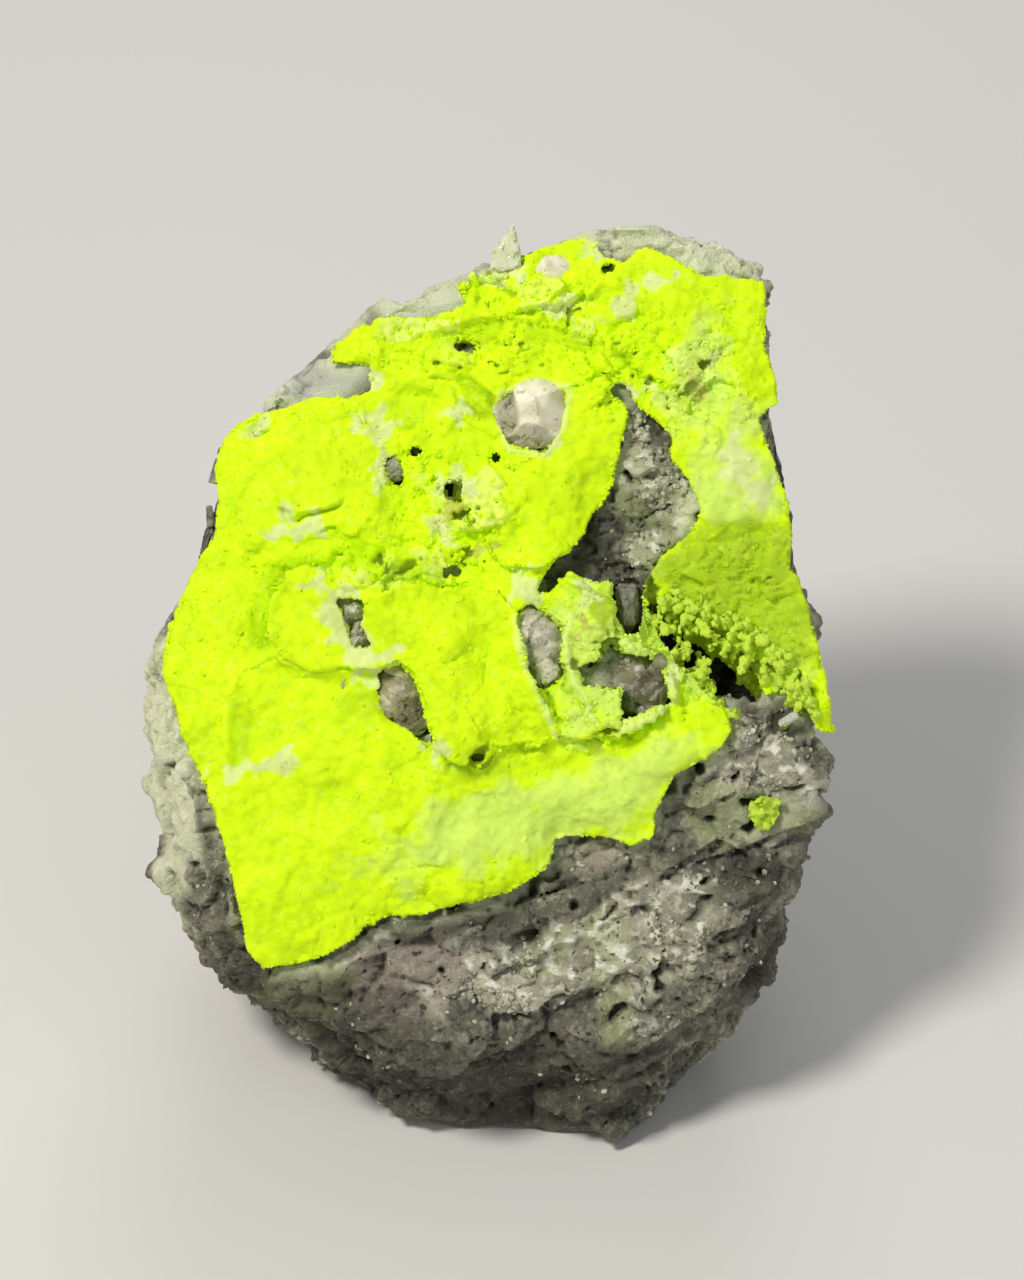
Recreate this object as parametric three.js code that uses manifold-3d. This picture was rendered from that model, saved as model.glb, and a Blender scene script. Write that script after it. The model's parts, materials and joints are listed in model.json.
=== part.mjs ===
// Autunite on matrix: a trimmed lump of grey host rock, standing on a flat cut, whose broad sloping
// front face carries a lumpy yellow-green autunite crust. Quartz grains fill gaps in the crust, and a
// slanting pocket at its right edge is lined with small crystals.
//
// Everything is modelled in the frame of the crusted face, in millimetres: X runs across the face,
// Y up its slope and Z straight out of it, with Z = 0 about where the rock's own surface lies. One
// group then leans the face back, and another stands the lump on Z = 0 with its box centred.

import * as THREE from "three";
import { ConvexHull } from "three/addons/math/ConvexHull.js";
import { ImprovedNoise } from "three/addons/math/ImprovedNoise.js";
import { mergeVertices } from "three/addons/utils/BufferGeometryUtils.js";
import Module from "manifold-3d";

const wasm = await Module();
wasm.setup();

// ---------------------------------------------------------------- driving dimensions

const FACE_ELEVATION = THREE.MathUtils.degToRad(38); // how far above the horizon the crusted face looks
const GAP = 0.3; // clearance between neighbouring pieces
const FOOT_HEIGHT = -46; // world height of the flat cut, measured from the middle of the face
const EDGE_SHARPNESS = 70; // higher keeps the broken edges of the rock crisper
const CRUST_THICKNESS = 1.4; // plain thickness of the crust over the rock
const CRUST_RIM = 3; // width over which the crust thins towards its outer edge
const CRUST_DEPTH = -5.5; // how far the crust reaches round the edges of the face

// Corners of the lump, as broken: [x, y, z] in the frame of the face.
const FACE_CORNERS = [
  [-28.5, 23.5, -1], [-33.5, 4, -0.5], [-32, -6, -0.5], [-25.5, -27, -1], [-20.5, -33, -4],
  [-10, -39, -7], [5, -40.5, -7], [16, -39, -7], [25, -31, -6], [30.5, -20, -4], [35.2, -5, -2],
  [34.2, 3, -0.5], [32, 11, 0], [31, 19, 0], [29.8, 30, -0.5], [29, 42.5, -1.5], [22, 45, -2.5],
  [20, 47, -4], [14.5, 48.6, -4], [8, 47, -2.5], [-2, 43.8, -1.5], [-10, 40.4, -1.5], [-17, 35.4, -1.5],
  [-26.5, 28.5, -1.5],
];
const WAIST_CORNERS = [
  [-36.6, -1, -9], [-36, -18.5, -14], [-25.5, -28, -18], [-21.5, -37, -18], [-10, -44.5, -17],
  [1, -47.5, -17], [14.5, -47.2, -16], [20.5, -41, -18], [29.5, -30.5, -14], [32.5, -18, -11],
  [-30, 20, -12], [34.5, 0, -12], [29.6, 22, -12], [27.4, 41.5, -11],
];
const BACK_CORNERS = [
  [-22, 7, -40], [20, 7, -41.5], [-17, 27, -25], [19, 30, -24], [-8, 39, -14], [16, 44, -12],
  [-23, -8, -45], [24, -7, -44], [-32, 0.5, -25], [31, 4, -28],
];
const FOOT_CORNERS = [
  [-12, -19, -52], [12, -19, -52], [-22, -33, -35], [22, -34, -34],
];

// Rays from the heart of the lump draw its skin. They are spread to suit its shape, and the crust's
// are gathered on the face, where it needs its finer facets.
const HEART = new THREE.Vector3(0, -3, -22);
const ROCK_RAYS = { detail: 10, spread: new THREE.Vector3(37, 46, 32) };
const CRUST_RAYS = { detail: 15, spread: new THREE.Vector3(37, 46, 52) };

// Swellings (push > 0) and hollows (push < 0) of the rock: where, how wide and how far.
const ROCK_RELIEF = [
  { at: [23.5, 7, 0], reach: 13, push: -4.4 }, // basin above the pocket
  { at: [11.5, 16, 0], reach: 9, push: -3.2 }, // hollow under the lip of the upper plate
  { at: [24, -9, -2], reach: 9, push: 1.2 }, // shoulder below the pocket
  { at: [-5, -33, -5], reach: 13, push: 2.6 }, // swelling below the crust
  { at: [15, -26, -4], reach: 12, push: 2.4 },
  { at: [-6, -24, -1], reach: 9, push: -1.8 }, // undercut along the crust's lower edge
  { at: [8, -17.5, -1], reach: 8, push: -1.2 },
  { at: [30, -18, -8], reach: 7, push: -1.6 }, // notch in the right flank
  { at: [3, -43, -10], reach: 9, push: -2.4 },
  { at: [-19, -34, -9], reach: 8, push: -1.8 },
  { at: [-33, -9, -12], reach: 8, push: -1.2 },
  { at: [-34, -17, -16], reach: 8, push: 1.4 },
  { at: [0, 20, -33], reach: 16, push: 2.5 }, // the broken back
  { at: [14, -6, -45], reach: 14, push: -3 },
  { at: [-16, 8, -38], reach: 10, push: -2.5 },
];

// ---------------------------------------------------------------- outlines on the face

const CRUST_OUTLINE = [
  [-24.4, -25.9], [-22.7, -27.9], [-19, -27.4], [-15.7, -26.4], [-12.8, -24.2], [-10.8, -22.8],
  [-6.7, -22.5], [-1.1, -21.1], [2.3, -20.2], [4.4, -18.8], [6.2, -17.4], [6.6, -14.9],
  [9.8, -14.7], [12.6, -15.1], [14.3, -15.8], [16.3, -14.7], [16.7, -12.1], [18.5, -8.5],
  [21.1, -7.1], [23, -5.8], [24.2, -4], [23.6, -1.9], [21.2, 0], [21.5, 2.6],
  [19.6, 4], [18.8, 6], [16.6, 6.8], [15.6, 9], [17.2, 8.8], [20, 6.8], [22.6, 5.6], [25, 4.4],
  [26.2, 2.2], [27.6, -0.6], [29.6, 0.2], [31.2, -1.2], [33.2, -4.4], [34.6, -4.4],
  [33.4, 2.2], [32.2, 7.8], [30.8, 11.4], [29.8, 12.8], [30.4, 15.5], [29.9, 18.5],
  [28.6, 22.6], [27.5, 25.7], [27, 27.2], [28.8, 29], [28.6, 31.5], [27.5, 34.7], [27.8, 38.4],
  [27.6, 41], [23.9, 41.7], [21, 41.5], [19, 43], [15.8, 44.4], [13.2, 42.8], [11.6, 43.4],
  [10.2, 45.2], [7.8, 45.2], [5.2, 44.2], [0.4, 42.6], [-3.4, 40.6], [-2.4, 38.6],
  [-6, 37.4], [-9.5, 37.2], [-13.3, 36.4], [-16, 34.2], [-16, 32.8], [-12.2, 32.6],
  [-12, 30], [-14, 29.2], [-17, 29.4], [-20, 28.4], [-23.5, 27.6], [-25.6, 26.6], [-26.9, 25],
  [-27.7, 22], [-27.2, 18.5], [-27.6, 15.5], [-29.8, 12], [-31.3, 8.7], [-32.6, 5.2],
  [-32.8, 2], [-31.8, -1.2], [-30.6, -5.2], [-29, -8.5], [-26.9, -14.6], [-25.3, -21],
];

// Gaps in the crust, where rock or a quartz grain shows through.
const CRUST_GAPS = [
  // the large gap beside the upper plate, running down to the smoky prism
  [
    [11.5, 30.4], [13.8, 28.2], [12.9, 23.8], [12.5, 21], [11.4, 18.7], [9.8, 17], [8.7, 14.6],
    [7, 13.4], [5.6, 12], [4.6, 9.6], [6, 9.8], [7.8, 12], [9.8, 11.2], [12.2, 10.4], [12.5, 7.2],
    [14.4, 5], [15.1, 7], [15.4, 10.6], [17.4, 13.6], [19.9, 15.6], [21.3, 17.8], [19.9, 21],
    [18.1, 23.2], [18, 25.6], [15.8, 27.6], [13.4, 30.8],
  ],
  [[1.4, 29.4], [4, 30.4], [7.7, 29.9], [6.9, 26.3], [5.2, 23.9], [2, 24.5], [1.1, 26.6]],
  [
    [2.8, 7.8], [4, 8.9], [5.4, 7.4], [7.1, 6.3], [7, 4], [7.5, 1.8], [6.6, 0.8], [5, -0.2],
    [4, 1.2], [3.3, 3.2], [3, 5.6],
  ],
  [
    [8.6, 2.2], [11.4, 3.6], [11.8, 5], [13, 3.8], [15.8, 3.4], [16.8, 2.4], [18.2, -1.2],
    [15.6, -2.2], [12.6, -3.4], [13.4, 0.4], [11, 0.3], [9.2, 0.2],
  ],
  [
    [-11.2, 1.7], [-9, 2.5], [-7.7, 1.2], [-6.9, -1.8], [-6, -3.6], [-5.6, -6], [-7.4, -4.6],
    [-9.4, -2.4],
  ],
  [[-15.6, 9.4], [-12.2, 9], [-13, 6.4], [-11.8, 4.2], [-13.4, 4.4], [-14.4, 7]],
  [[-10.4, 23.6], [-9.2, 23], [-8.6, 20.6], [-9.9, 20.3], [-10.2, 22]],
];

// Second layers of crust, with a clear step down at their edge: outline and rise over the first.
const UPPER_PLATES = [
  {
    rise: 1.5,
    outline: [
      [-22, 5.8], [-21.9, 8.2], [-21.2, 10.2], [-20, 11.5], [-18, 11.9], [-16, 11.4], [-14, 11.8],
      [-11.8, 11.3], [-10.7, 9.8], [-9.2, 10.5], [-7.6, 10.7], [-5, 9.7], [-2, 10.6], [1, 10],
      [2.6, 8], [2.9, 5.2], [4, 1], [5.8, -2.5], [6.9, -5.1], [5, -5.6], [1, -6.2], [-1.2, -8],
      [-3.5, -7.5], [-5.4, -6.2], [-5.8, -3.4], [-7.5, 1.4], [-9, 2.8], [-11.4, 1.9],
      [-14, 2.4], [-18, 2], [-21, 3.5],
    ],
  },
  {
    rise: 1.2,
    outline: [
      [11, 31], [13.4, 29.6], [13.9, 28.2], [13, 23.8], [12.6, 21], [11.5, 18.7], [9.8, 16.9],
      [8.7, 14.5], [7, 13.2], [5, 11.9], [1, 12.4], [-1.4, 15], [-1.8, 19], [1.2, 22.6],
      [5.4, 23.6], [6.9, 25.8], [7.9, 29.9],
    ],
  },
  {
    rise: 1.2,
    outline: [
      [6.4, -4.6], [9.8, -4.9], [13.2, -4.4], [16.6, -2.6], [18.4, -0.6], [19.4, 1.4], [18.2, 3.6],
      [15.8, 4.4], [14.6, 5.6], [12.6, 8.4], [9, 11], [6.6, 11.2], [5, 9.2], [5.4, 7.4],
      [7, 4], [6.8, 0.8], [5.8, -1.6],
    ],
  },
  {
    rise: 1,
    outline: [
      [-25.5, 25], [-22.5, 26.6], [-18, 28], [-14.4, 28], [-10.4, 26], [-9.6, 24], [-10.8, 20.2],
      [-10.6, 17], [-13.6, 15], [-16, 16.3], [-18.6, 14.6], [-20.8, 15.4], [-24, 14.4], [-25.6, 18],
    ],
  },
];

// Broad lumps (rise > 0) and troughs (rise < 0) of the crust: middle, reach across and along, height.
const CRUST_LUMPS = [
  { at: [-18, 19], reach: [11, 10], rise: 0.7 },
  { at: [-5, 35.5], reach: [12, 4.5], rise: 1 },
  { at: [8, 36], reach: [9, 4], rise: 0.7 },
  { at: [20, 34], reach: [10, 11], rise: 1.7 },
  { at: [24, 21], reach: [7, 6], rise: 0.8 },
  { at: [29, 9], reach: [5, 7], rise: 0.9 },
  { at: [-22, -12], reach: [10, 15], rise: 0.8 },
  { at: [-26, 1], reach: [7, 8], rise: 0.7 },
  { at: [8, -12], reach: [17, 5.5], rise: -0.6 },
  { at: [10.5, 7], reach: [5, 4], rise: 0.8 },
  { at: [21, -3], reach: [5, 5], rise: 0.6 },
  { at: [-1.6, 29.4], reach: [3, 4.5], rise: -1.1 }, // valley beside the upper quartz grain
  { at: [-8.4, 28], reach: [3.5, 2.2], rise: -0.9 },
  { at: [-14, 12.8], reach: [9, 2], rise: -0.9 }, // trough between the left slab and the lobe
  { at: [-24.5, -4], reach: [3, 6], rise: -0.6 },
];

// Small pits through the crust: middle and half width and height.
const CRUST_PITS = [
  { at: [-2.7, 34.3], half: [1.25, 0.7] },
  { at: [11.9, 42.2], half: [0.95, 0.7] },
  { at: [-7.5, 23.9], half: [0.85, 0.6] },
  { at: [-3.9, 20], half: [0.95, 0.85] },
  { at: [0.6, 23.2], half: [0.6, 0.75] },
  { at: [-3.9, 11.8], half: [1.3, 0.8] },
  { at: [-1.2, -6.7], half: [1.3, 0.8] },
];

const PATCH_OUTLINE = [
  [26.1, -11.2], [27.2, -10.4], [28.8, -10.8], [29.4, -12.4], [28.2, -14.2], [26.6, -14.4],
  [25.8, -13],
];

// ---------------------------------------------------------------- crystals

// Rounded quartz grains: middle on the face, how deep it sits in the rock, half sizes and turn.
const QUARTZ_GRAINS = [
  { name: "quartz_grain_upper", at: [4.3, 27.2], sink: 0.6, half: [3.2, 3.1, 2.5], turn: 0.3 },
  { name: "quartz_grain_middle", at: [5.1, 4], sink: 0.6, half: [2.1, 3.5, 2.2], turn: 0.15 },
  { name: "quartz_grain_lower", at: [15.2, 0.3], sink: 0.6, half: [2.6, 2.8, 2.2], turn: -0.2 },
  { name: "quartz_grain_left", at: [-8.4, -1.1], sink: 0.7, half: [1.9, 4, 2.1], turn: 0.6 },
  { name: "quartz_grain_top", at: [5.9, 42], sink: 0.5, half: [1.9, 1.3, 1.6], turn: 0.2 },
];

// Six-sided prisms with a pointed end: middle on the face, sink, radius, length and direction.
const PRISMS = [
  { name: "smoky_prism", at: [13.8, 8.6], sink: 0.4, radius: 1.1, length: 3.8, points: [0.08, -1, -0.35] },
  { name: "white_prism", at: [29.8, -3], sink: -0.5, radius: 0.42, length: 2.2, points: [0.7, 0.45, 0.7] },
];
const PRISM_HOLE = { at: [13.9, 6.6], sink: 1.6, half: [1.7, 2.8, 2.6], turn: 0 };

const BLADE_OUTLINE = [[-1.9, -2.6], [1.3, -2.6], [1.25, -0.4], [0.6, 2.3], [-0.3, 1], [-1.4, -0.4]];
const BLADE = { at: [1.8, 44.6, -1.4], thick: 1, lean: 0.2 };

// The slanting pocket, and the crystals on its upper wall.
const POCKET = { at: [22, 3.2, -5], half: [7.6, 2.6, 7], turn: -0.72, detail: 2 };
const DRUSE_WALL = 0.9;
const DRUSE_CRYSTALS = 11;
const DRUSE_SIZE = 0.85;

// ---------------------------------------------------------------- solids and meshes

const noise = new ImprovedNoise();

// A smooth number from -1 to 1 that varies over about the given size in millimetres.
function roughness(x, y, z, size) {
  return noise.noise(x / size + 3.1, y / size + 7.7, z / size + 11.3);
}

function indexed(geometry) {
  geometry.deleteAttribute("normal");
  geometry.deleteAttribute("uv");
  return mergeVertices(geometry, 1e-4);
}

function solidOf(geometry) {
  const merged = indexed(geometry);
  const mesh = new wasm.Mesh({
    numProp: 3,
    vertProperties: new Float32Array(merged.attributes.position.array),
    triVerts: new Uint32Array(merged.index.array),
  });
  return new wasm.Manifold(mesh);
}

function geometryOf(solid) {
  const made = solid.getMesh();
  const geometry = new THREE.BufferGeometry();
  geometry.setAttribute("position", new THREE.BufferAttribute(new Float32Array(made.vertProperties), 3));
  geometry.setIndex(new THREE.BufferAttribute(new Uint32Array(made.triVerts), 1));
  const flat = geometry.toNonIndexed();
  flat.computeVertexNormals();
  return flat;
}

// The largest single body of a solid, without the crumbs that a cut can leave.
function mainBody(solid) {
  const bodies = solid.decompose();
  bodies.sort((a, b) => b.volume() - a.volume());
  return bodies[0];
}

// A straight-sided solid over an outline on the face.
function prismOver(outline, low, high = 20) {
  const shape = new THREE.Shape(outline.map(([x, y]) => new THREE.Vector2(x, y)));
  const geometry = new THREE.ExtrudeGeometry(shape, { depth: high - low, bevelEnabled: false });
  geometry.translate(0, 0, low);
  return solidOf(geometry);
}

// A shape made about the origin, turned on the face and moved to its place there.
function place(geometry, at, turn = 0) {
  geometry.rotateZ(turn);
  geometry.translate(...at);
  return solidOf(geometry);
}

// ---------------------------------------------------------------- skin of the lump

const hullCorners = [...FACE_CORNERS, ...WAIST_CORNERS, ...BACK_CORNERS, ...FOOT_CORNERS];
const hull = new ConvexHull().setFromPoints(hullCorners.map((corner) => new THREE.Vector3(...corner)));
const hullPlanes = hull.faces.map((face) => ({
  normal: face.normal.clone(),
  reach: face.constant - face.normal.dot(HEART),
}));

// How many times its own length a ray from the heart runs before it meets the broken surface.
function hullDistance(ray) {
  let sum = 0;
  for (const plane of hullPlanes) {
    const share = plane.normal.dot(ray) / plane.reach;
    if (share > 0) sum += share ** EDGE_SHARPNESS;
  }
  return sum ** (-1 / EDGE_SHARPNESS);
}

function rockPush(p) {
  let push = 1.2 * roughness(p.x, p.y, p.z, 13) + 0.7 * roughness(p.x, p.y, p.z, 5.5);
  for (const { at, reach, push: height } of ROCK_RELIEF) {
    const distance = Math.hypot(p.x - at[0], p.y - at[1], p.z - at[2]) / reach;
    if (distance < 1) push += height * (1 - distance ** 2) ** 2;
  }
  return push;
}

// A closed skin drawn by rays from the heart, lying the given cover outside the rock.
function skinGeometry({ detail, spread }, coverAt) {
  const geometry = indexed(new THREE.IcosahedronGeometry(1, detail));
  const position = geometry.attributes.position;
  const ray = new THREE.Vector3();
  const point = new THREE.Vector3();
  for (let i = 0; i < position.count; i++) {
    ray.fromBufferAttribute(position, i).multiply(spread);
    point.copy(ray).multiplyScalar(hullDistance(ray)).add(HEART);
    ray.normalize().multiplyScalar(rockPush(point) + coverAt(point));
    point.add(ray);
    position.setXYZ(i, point.x, point.y, point.z);
  }
  return geometry;
}

const rockSkin = skinGeometry(ROCK_RAYS, () => 0);
const rockMesh = new THREE.Mesh(rockSkin);
rockMesh.updateMatrixWorld(true);
const probe = new THREE.Raycaster();

// The point of the rock's surface under a place on the face, lowered by a sink.
function onRock([x, y], sink = 0) {
  probe.set(new THREE.Vector3(x, y, 60), new THREE.Vector3(0, 0, -1));
  return [x, y, probe.intersectObject(rockMesh)[0].point.z - sink];
}

// ---------------------------------------------------------------- crust

function distanceToOutline(x, y, outline) {
  let nearest = Infinity;
  outline.forEach(([ax, ay], i) => {
    const [bx, by] = outline[(i + 1) % outline.length];
    const length = (bx - ax) ** 2 + (by - ay) ** 2;
    const share = ((x - ax) * (bx - ax) + (y - ay) * (by - ay)) / length;
    const t = THREE.MathUtils.clamp(share, 0, 1);
    nearest = Math.min(nearest, Math.hypot(x - ax - t * (bx - ax), y - ay - t * (by - ay)));
  });
  return nearest;
}

// Thickness of the crust's first layer at a place on the face.
function crustThickness({ x, y }) {
  let thick = CRUST_THICKNESS + 0.8 * roughness(x, y, 0, 6) + 0.6 * roughness(x, y, 9, 3.2);
  for (const { at, reach, rise } of CRUST_LUMPS) {
    const distance = Math.hypot((x - at[0]) / reach[0], (y - at[1]) / reach[1]);
    if (distance < 1) thick += rise * (1 - distance ** 2);
  }
  const inset = THREE.MathUtils.smoothstep(distanceToOutline(x, y, CRUST_OUTLINE), 0, CRUST_RIM);
  return Math.max(0.7, thick * THREE.MathUtils.lerp(0.65, 1, inset));
}

// Crust grown on the rock within an outline, with a rise over the first layer.
function grownLayer(outline, rise) {
  const cover = (point) => GAP + crustThickness(point) + rise;
  return solidOf(skinGeometry(CRUST_RAYS, cover)).intersect(prismOver(outline, CRUST_DEPTH));
}

// ---------------------------------------------------------------- crystals

// A blocky, rounded grain.
function grainSolid({ at, sink, half, turn }, extra = 0) {
  const geometry = indexed(new THREE.IcosahedronGeometry(1, 1));
  const position = geometry.attributes.position;
  for (let i = 0; i < position.count; i++) {
    const point = new THREE.Vector3().fromBufferAttribute(position, i);
    const blocky = 1 / Math.hypot(point.x ** 2, point.y ** 2, point.z ** 2) ** 0.5;
    const size = blocky * (0.95 + 0.25 * roughness(point.x + at[0], point.y + at[1], point.z, 0.9));
    position.setXYZ(i, point.x * size, point.y * size, point.z * size);
  }
  geometry.scale(half[0] + extra, half[1] + extra, half[2] + extra);
  return place(geometry, onRock(at, sink), turn);
}

function prismSolid({ at, sink, radius, length, points }, extra = 0) {
  const r = radius + extra;
  const body = new THREE.CylinderGeometry(r, r, length + 2 * extra, 6);
  const tip = new THREE.CylinderGeometry(r * 0.12, r, r * 1.1, 6);
  tip.translate(0, (length + 2 * extra + r * 1.1) / 2, 0);
  const geometry = geometryOf(solidOf(body).add(solidOf(tip)));
  const direction = new THREE.Vector3(...points).normalize();
  geometry.applyQuaternion(new THREE.Quaternion().setFromUnitVectors(new THREE.Vector3(0, 1, 0), direction));
  return place(geometry, onRock(at, sink));
}

function bladeSolid(extra = 0) {
  const shape = new THREE.Shape(BLADE_OUTLINE.map(([x, y]) => new THREE.Vector2(x, y)));
  const bevel = BLADE.thick * 0.35;
  const depth = BLADE.thick - 2 * bevel + 2 * extra;
  const geometry = new THREE.ExtrudeGeometry(shape, {
    depth,
    bevelEnabled: true,
    bevelSegments: 1,
    bevelThickness: bevel,
    bevelSize: bevel,
    bevelOffset: extra - bevel,
  });
  geometry.translate(0, 0, -depth / 2);
  geometry.rotateX(BLADE.lean);
  return place(geometry, BLADE.at);
}

function pocketSolid(shrink = 0) {
  const { at, half, turn, detail } = POCKET;
  const geometry = indexed(new THREE.IcosahedronGeometry(1, detail));
  geometry.scale(half[0] - shrink, half[1] - shrink, half[2] - shrink);
  return place(geometry, at, turn);
}

// Small crystals rooted in the upper wall of the pocket, fused into one lining.
function druseSolid() {
  const { at, half, turn } = POCKET;
  const room = pocketSolid(GAP).intersect(solidOf(rockSkin));
  const upper = new THREE.BoxGeometry(4 * half[0], 2 * half[1], 2 * half[2]);
  upper.translate(0, half[1] * 1.25, -half[2] * 0.1);
  let druse = room.subtract(pocketSolid(GAP + DRUSE_WALL)).intersect(place(upper, at, turn));
  for (let n = 0; n < DRUSE_CRYSTALS; n++) {
    const along = ((n * 0.618) % 1) * 1.5 - 0.75;
    const inwards = 0.15 + ((n * 0.414) % 1) * 0.4;
    const height = Math.sqrt(Math.max(0, 1 - along ** 2 - inwards ** 2));
    const crystal = new THREE.OctahedronGeometry(DRUSE_SIZE * (0.8 + 0.4 * ((n * 0.27) % 1)));
    crystal.rotateX(n);
    crystal.translate(along * half[0], height * (half[1] - GAP - DRUSE_WALL), inwards * half[2]);
    druse = druse.add(place(crystal, at, turn).intersect(room));
  }
  return mainBody(druse);
}

// ---------------------------------------------------------------- fitting the pieces together

function footCutter() {
  const block = new THREE.BoxGeometry(200, 200, 60);
  block.translate(0, 0, FOOT_HEIGHT - 30);
  block.rotateX(-(Math.PI / 2 - FACE_ELEVATION)); // from level to the frame of the face
  return solidOf(block);
}

function pitCutters() {
  return CRUST_PITS.map(({ at, half }) => {
    const pit = new THREE.IcosahedronGeometry(1, 0);
    pit.scale(half[0], half[1], 4);
    return place(pit, onRock(at, -0.8));
  });
}

const sockets = [
  ...QUARTZ_GRAINS.map((grain) => grainSolid(grain, GAP + 0.05)),
  ...PRISMS.map((prism) => prismSolid(prism, GAP)),
  grainSolid(PRISM_HOLE),
  bladeSolid(GAP),
  pocketSolid(),
].reduce((all, next) => all.add(next));

const rockSolid = solidOf(rockSkin).subtract(sockets).subtract(footCutter());
const hostRock = mainBody(rockSolid);

const rockAndGap = solidOf(skinGeometry(ROCK_RAYS, () => GAP));
let crust = grownLayer(CRUST_OUTLINE, 0);
for (const { outline, rise } of UPPER_PLATES) crust = crust.add(grownLayer(outline, rise));
for (const gap of CRUST_GAPS) crust = crust.subtract(prismOver(gap, 2 * CRUST_DEPTH));
for (const pit of pitCutters()) crust = crust.subtract(pit);
crust = mainBody(crust.subtract(rockAndGap).subtract(sockets));

const patch = mainBody(grownLayer(PATCH_OUTLINE, -0.2).subtract(rockAndGap));

// ---------------------------------------------------------------- the specimen

const material = {
  rock: new THREE.MeshStandardMaterial({ color: 0x8d897f, roughness: 0.9, metalness: 0 }),
  crust: new THREE.MeshStandardMaterial({ color: 0xdcf80e, roughness: 0.7, metalness: 0 }),
  druse: new THREE.MeshStandardMaterial({ color: 0xa9c63a, roughness: 0.5, metalness: 0 }),
  quartz: new THREE.MeshStandardMaterial({ color: 0xa8a39c, roughness: 0.35, metalness: 0 }),
  smoky: new THREE.MeshStandardMaterial({ color: 0x55513e, roughness: 0.25, metalness: 0 }),
};

const face = new THREE.Group();
face.rotation.x = Math.PI / 2 - FACE_ELEVATION;

function addPiece(name, solid, finish) {
  const mesh = new THREE.Mesh(geometryOf(solid), finish);
  mesh.name = name;
  face.add(mesh);
}

addPiece("host_rock", hostRock, material.rock);
addPiece("autunite_crust", crust, material.crust);
addPiece("autunite_patch", patch, material.crust);
addPiece("pocket_druse", druseSolid(), material.druse);
for (const grain of QUARTZ_GRAINS) addPiece(grain.name, grainSolid(grain), material.quartz);
addPiece("smoky_prism", prismSolid(PRISMS[0]), material.smoky);
addPiece("white_prism", prismSolid(PRISMS[1]), material.quartz);
addPiece("quartz_blade", bladeSolid(), material.quartz);

// Stand the lump on Z = 0 with the middle of its box over the origin.
const specimen = new THREE.Group();
specimen.add(face);
const standing = new THREE.Group();
standing.add(specimen);
standing.updateMatrixWorld(true);
const box = new THREE.Box3().setFromObject(standing, true);
specimen.position.set(-(box.min.x + box.max.x) / 2, -(box.min.y + box.max.y) / 2, -box.min.z);

export default standing;
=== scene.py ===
# %% [markdown]
# # Autunite crust on grey rock
#
# This scene dresses a mineral specimen: a lump of grey granitic rock whose sloping face carries a
# lumpy, sugary crust of yellow-green autunite, with quartz grains in its gaps and a dark pocket
# lined with small crystals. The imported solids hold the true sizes. Each piece here starts as a copy
# of its solid, so it stays where the solid is, and gains the relief and the finish that the solid
# is too coarse to show.

# %% Load the solids as a fixed frame
import json
import math

import bpy
import numpy as np
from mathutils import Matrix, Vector, noise
from mathutils.bvhtree import BVHTree

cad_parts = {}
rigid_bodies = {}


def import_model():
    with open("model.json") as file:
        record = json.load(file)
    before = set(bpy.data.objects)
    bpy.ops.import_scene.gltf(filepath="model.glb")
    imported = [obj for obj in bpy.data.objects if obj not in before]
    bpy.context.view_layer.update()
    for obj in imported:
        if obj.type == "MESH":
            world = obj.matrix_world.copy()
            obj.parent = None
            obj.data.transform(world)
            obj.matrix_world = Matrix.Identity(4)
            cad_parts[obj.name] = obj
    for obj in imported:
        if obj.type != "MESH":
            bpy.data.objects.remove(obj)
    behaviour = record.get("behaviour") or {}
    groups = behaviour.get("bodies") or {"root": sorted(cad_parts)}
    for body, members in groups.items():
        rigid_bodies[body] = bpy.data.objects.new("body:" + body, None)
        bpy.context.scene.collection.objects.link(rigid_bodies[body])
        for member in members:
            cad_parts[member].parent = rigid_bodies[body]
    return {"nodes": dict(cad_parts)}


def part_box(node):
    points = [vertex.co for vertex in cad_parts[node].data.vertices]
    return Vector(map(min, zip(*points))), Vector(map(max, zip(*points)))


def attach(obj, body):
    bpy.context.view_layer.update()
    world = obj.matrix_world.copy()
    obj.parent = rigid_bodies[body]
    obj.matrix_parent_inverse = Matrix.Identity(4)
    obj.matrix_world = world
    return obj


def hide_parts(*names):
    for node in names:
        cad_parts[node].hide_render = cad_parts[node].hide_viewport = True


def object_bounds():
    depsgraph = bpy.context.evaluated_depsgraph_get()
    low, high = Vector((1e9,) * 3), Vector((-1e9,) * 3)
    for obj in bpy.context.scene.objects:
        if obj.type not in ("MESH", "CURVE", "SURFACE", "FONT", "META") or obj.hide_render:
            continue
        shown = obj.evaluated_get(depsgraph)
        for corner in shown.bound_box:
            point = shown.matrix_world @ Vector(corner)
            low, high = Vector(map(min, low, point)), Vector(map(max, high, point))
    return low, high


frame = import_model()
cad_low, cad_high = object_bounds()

MM = 0.001
SKIN_TRIANGLES = 190000  # aimed at when the spare part of a big skin is thinned
MOST_TRIANGLES = 196000  # in any one piece at the end
print("solids:", sorted(frame["nodes"]))
print("box in mm:", [round(s / MM, 1) for s in cad_high - cad_low])

# %% [markdown]
# The crusted face leans back, so it is awkward to say where a lump or a pit lies in plain X, Y
# and Z. A second set of coordinates helps: x across the face, y up its slope and z straight out of
# it, in millimetres, measured from the middle of the face. The middle is found from the box of the
# crust's own solid.

# %% Coordinates on the leaning face
FACE_TILT = math.radians(52)  # the face's own y leans this far from level
UP_SLOPE = np.array([0, math.cos(FACE_TILT), math.sin(FACE_TILT)])
OUTWARD = np.array([0, -math.sin(FACE_TILT), math.cos(FACE_TILT)])

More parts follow.
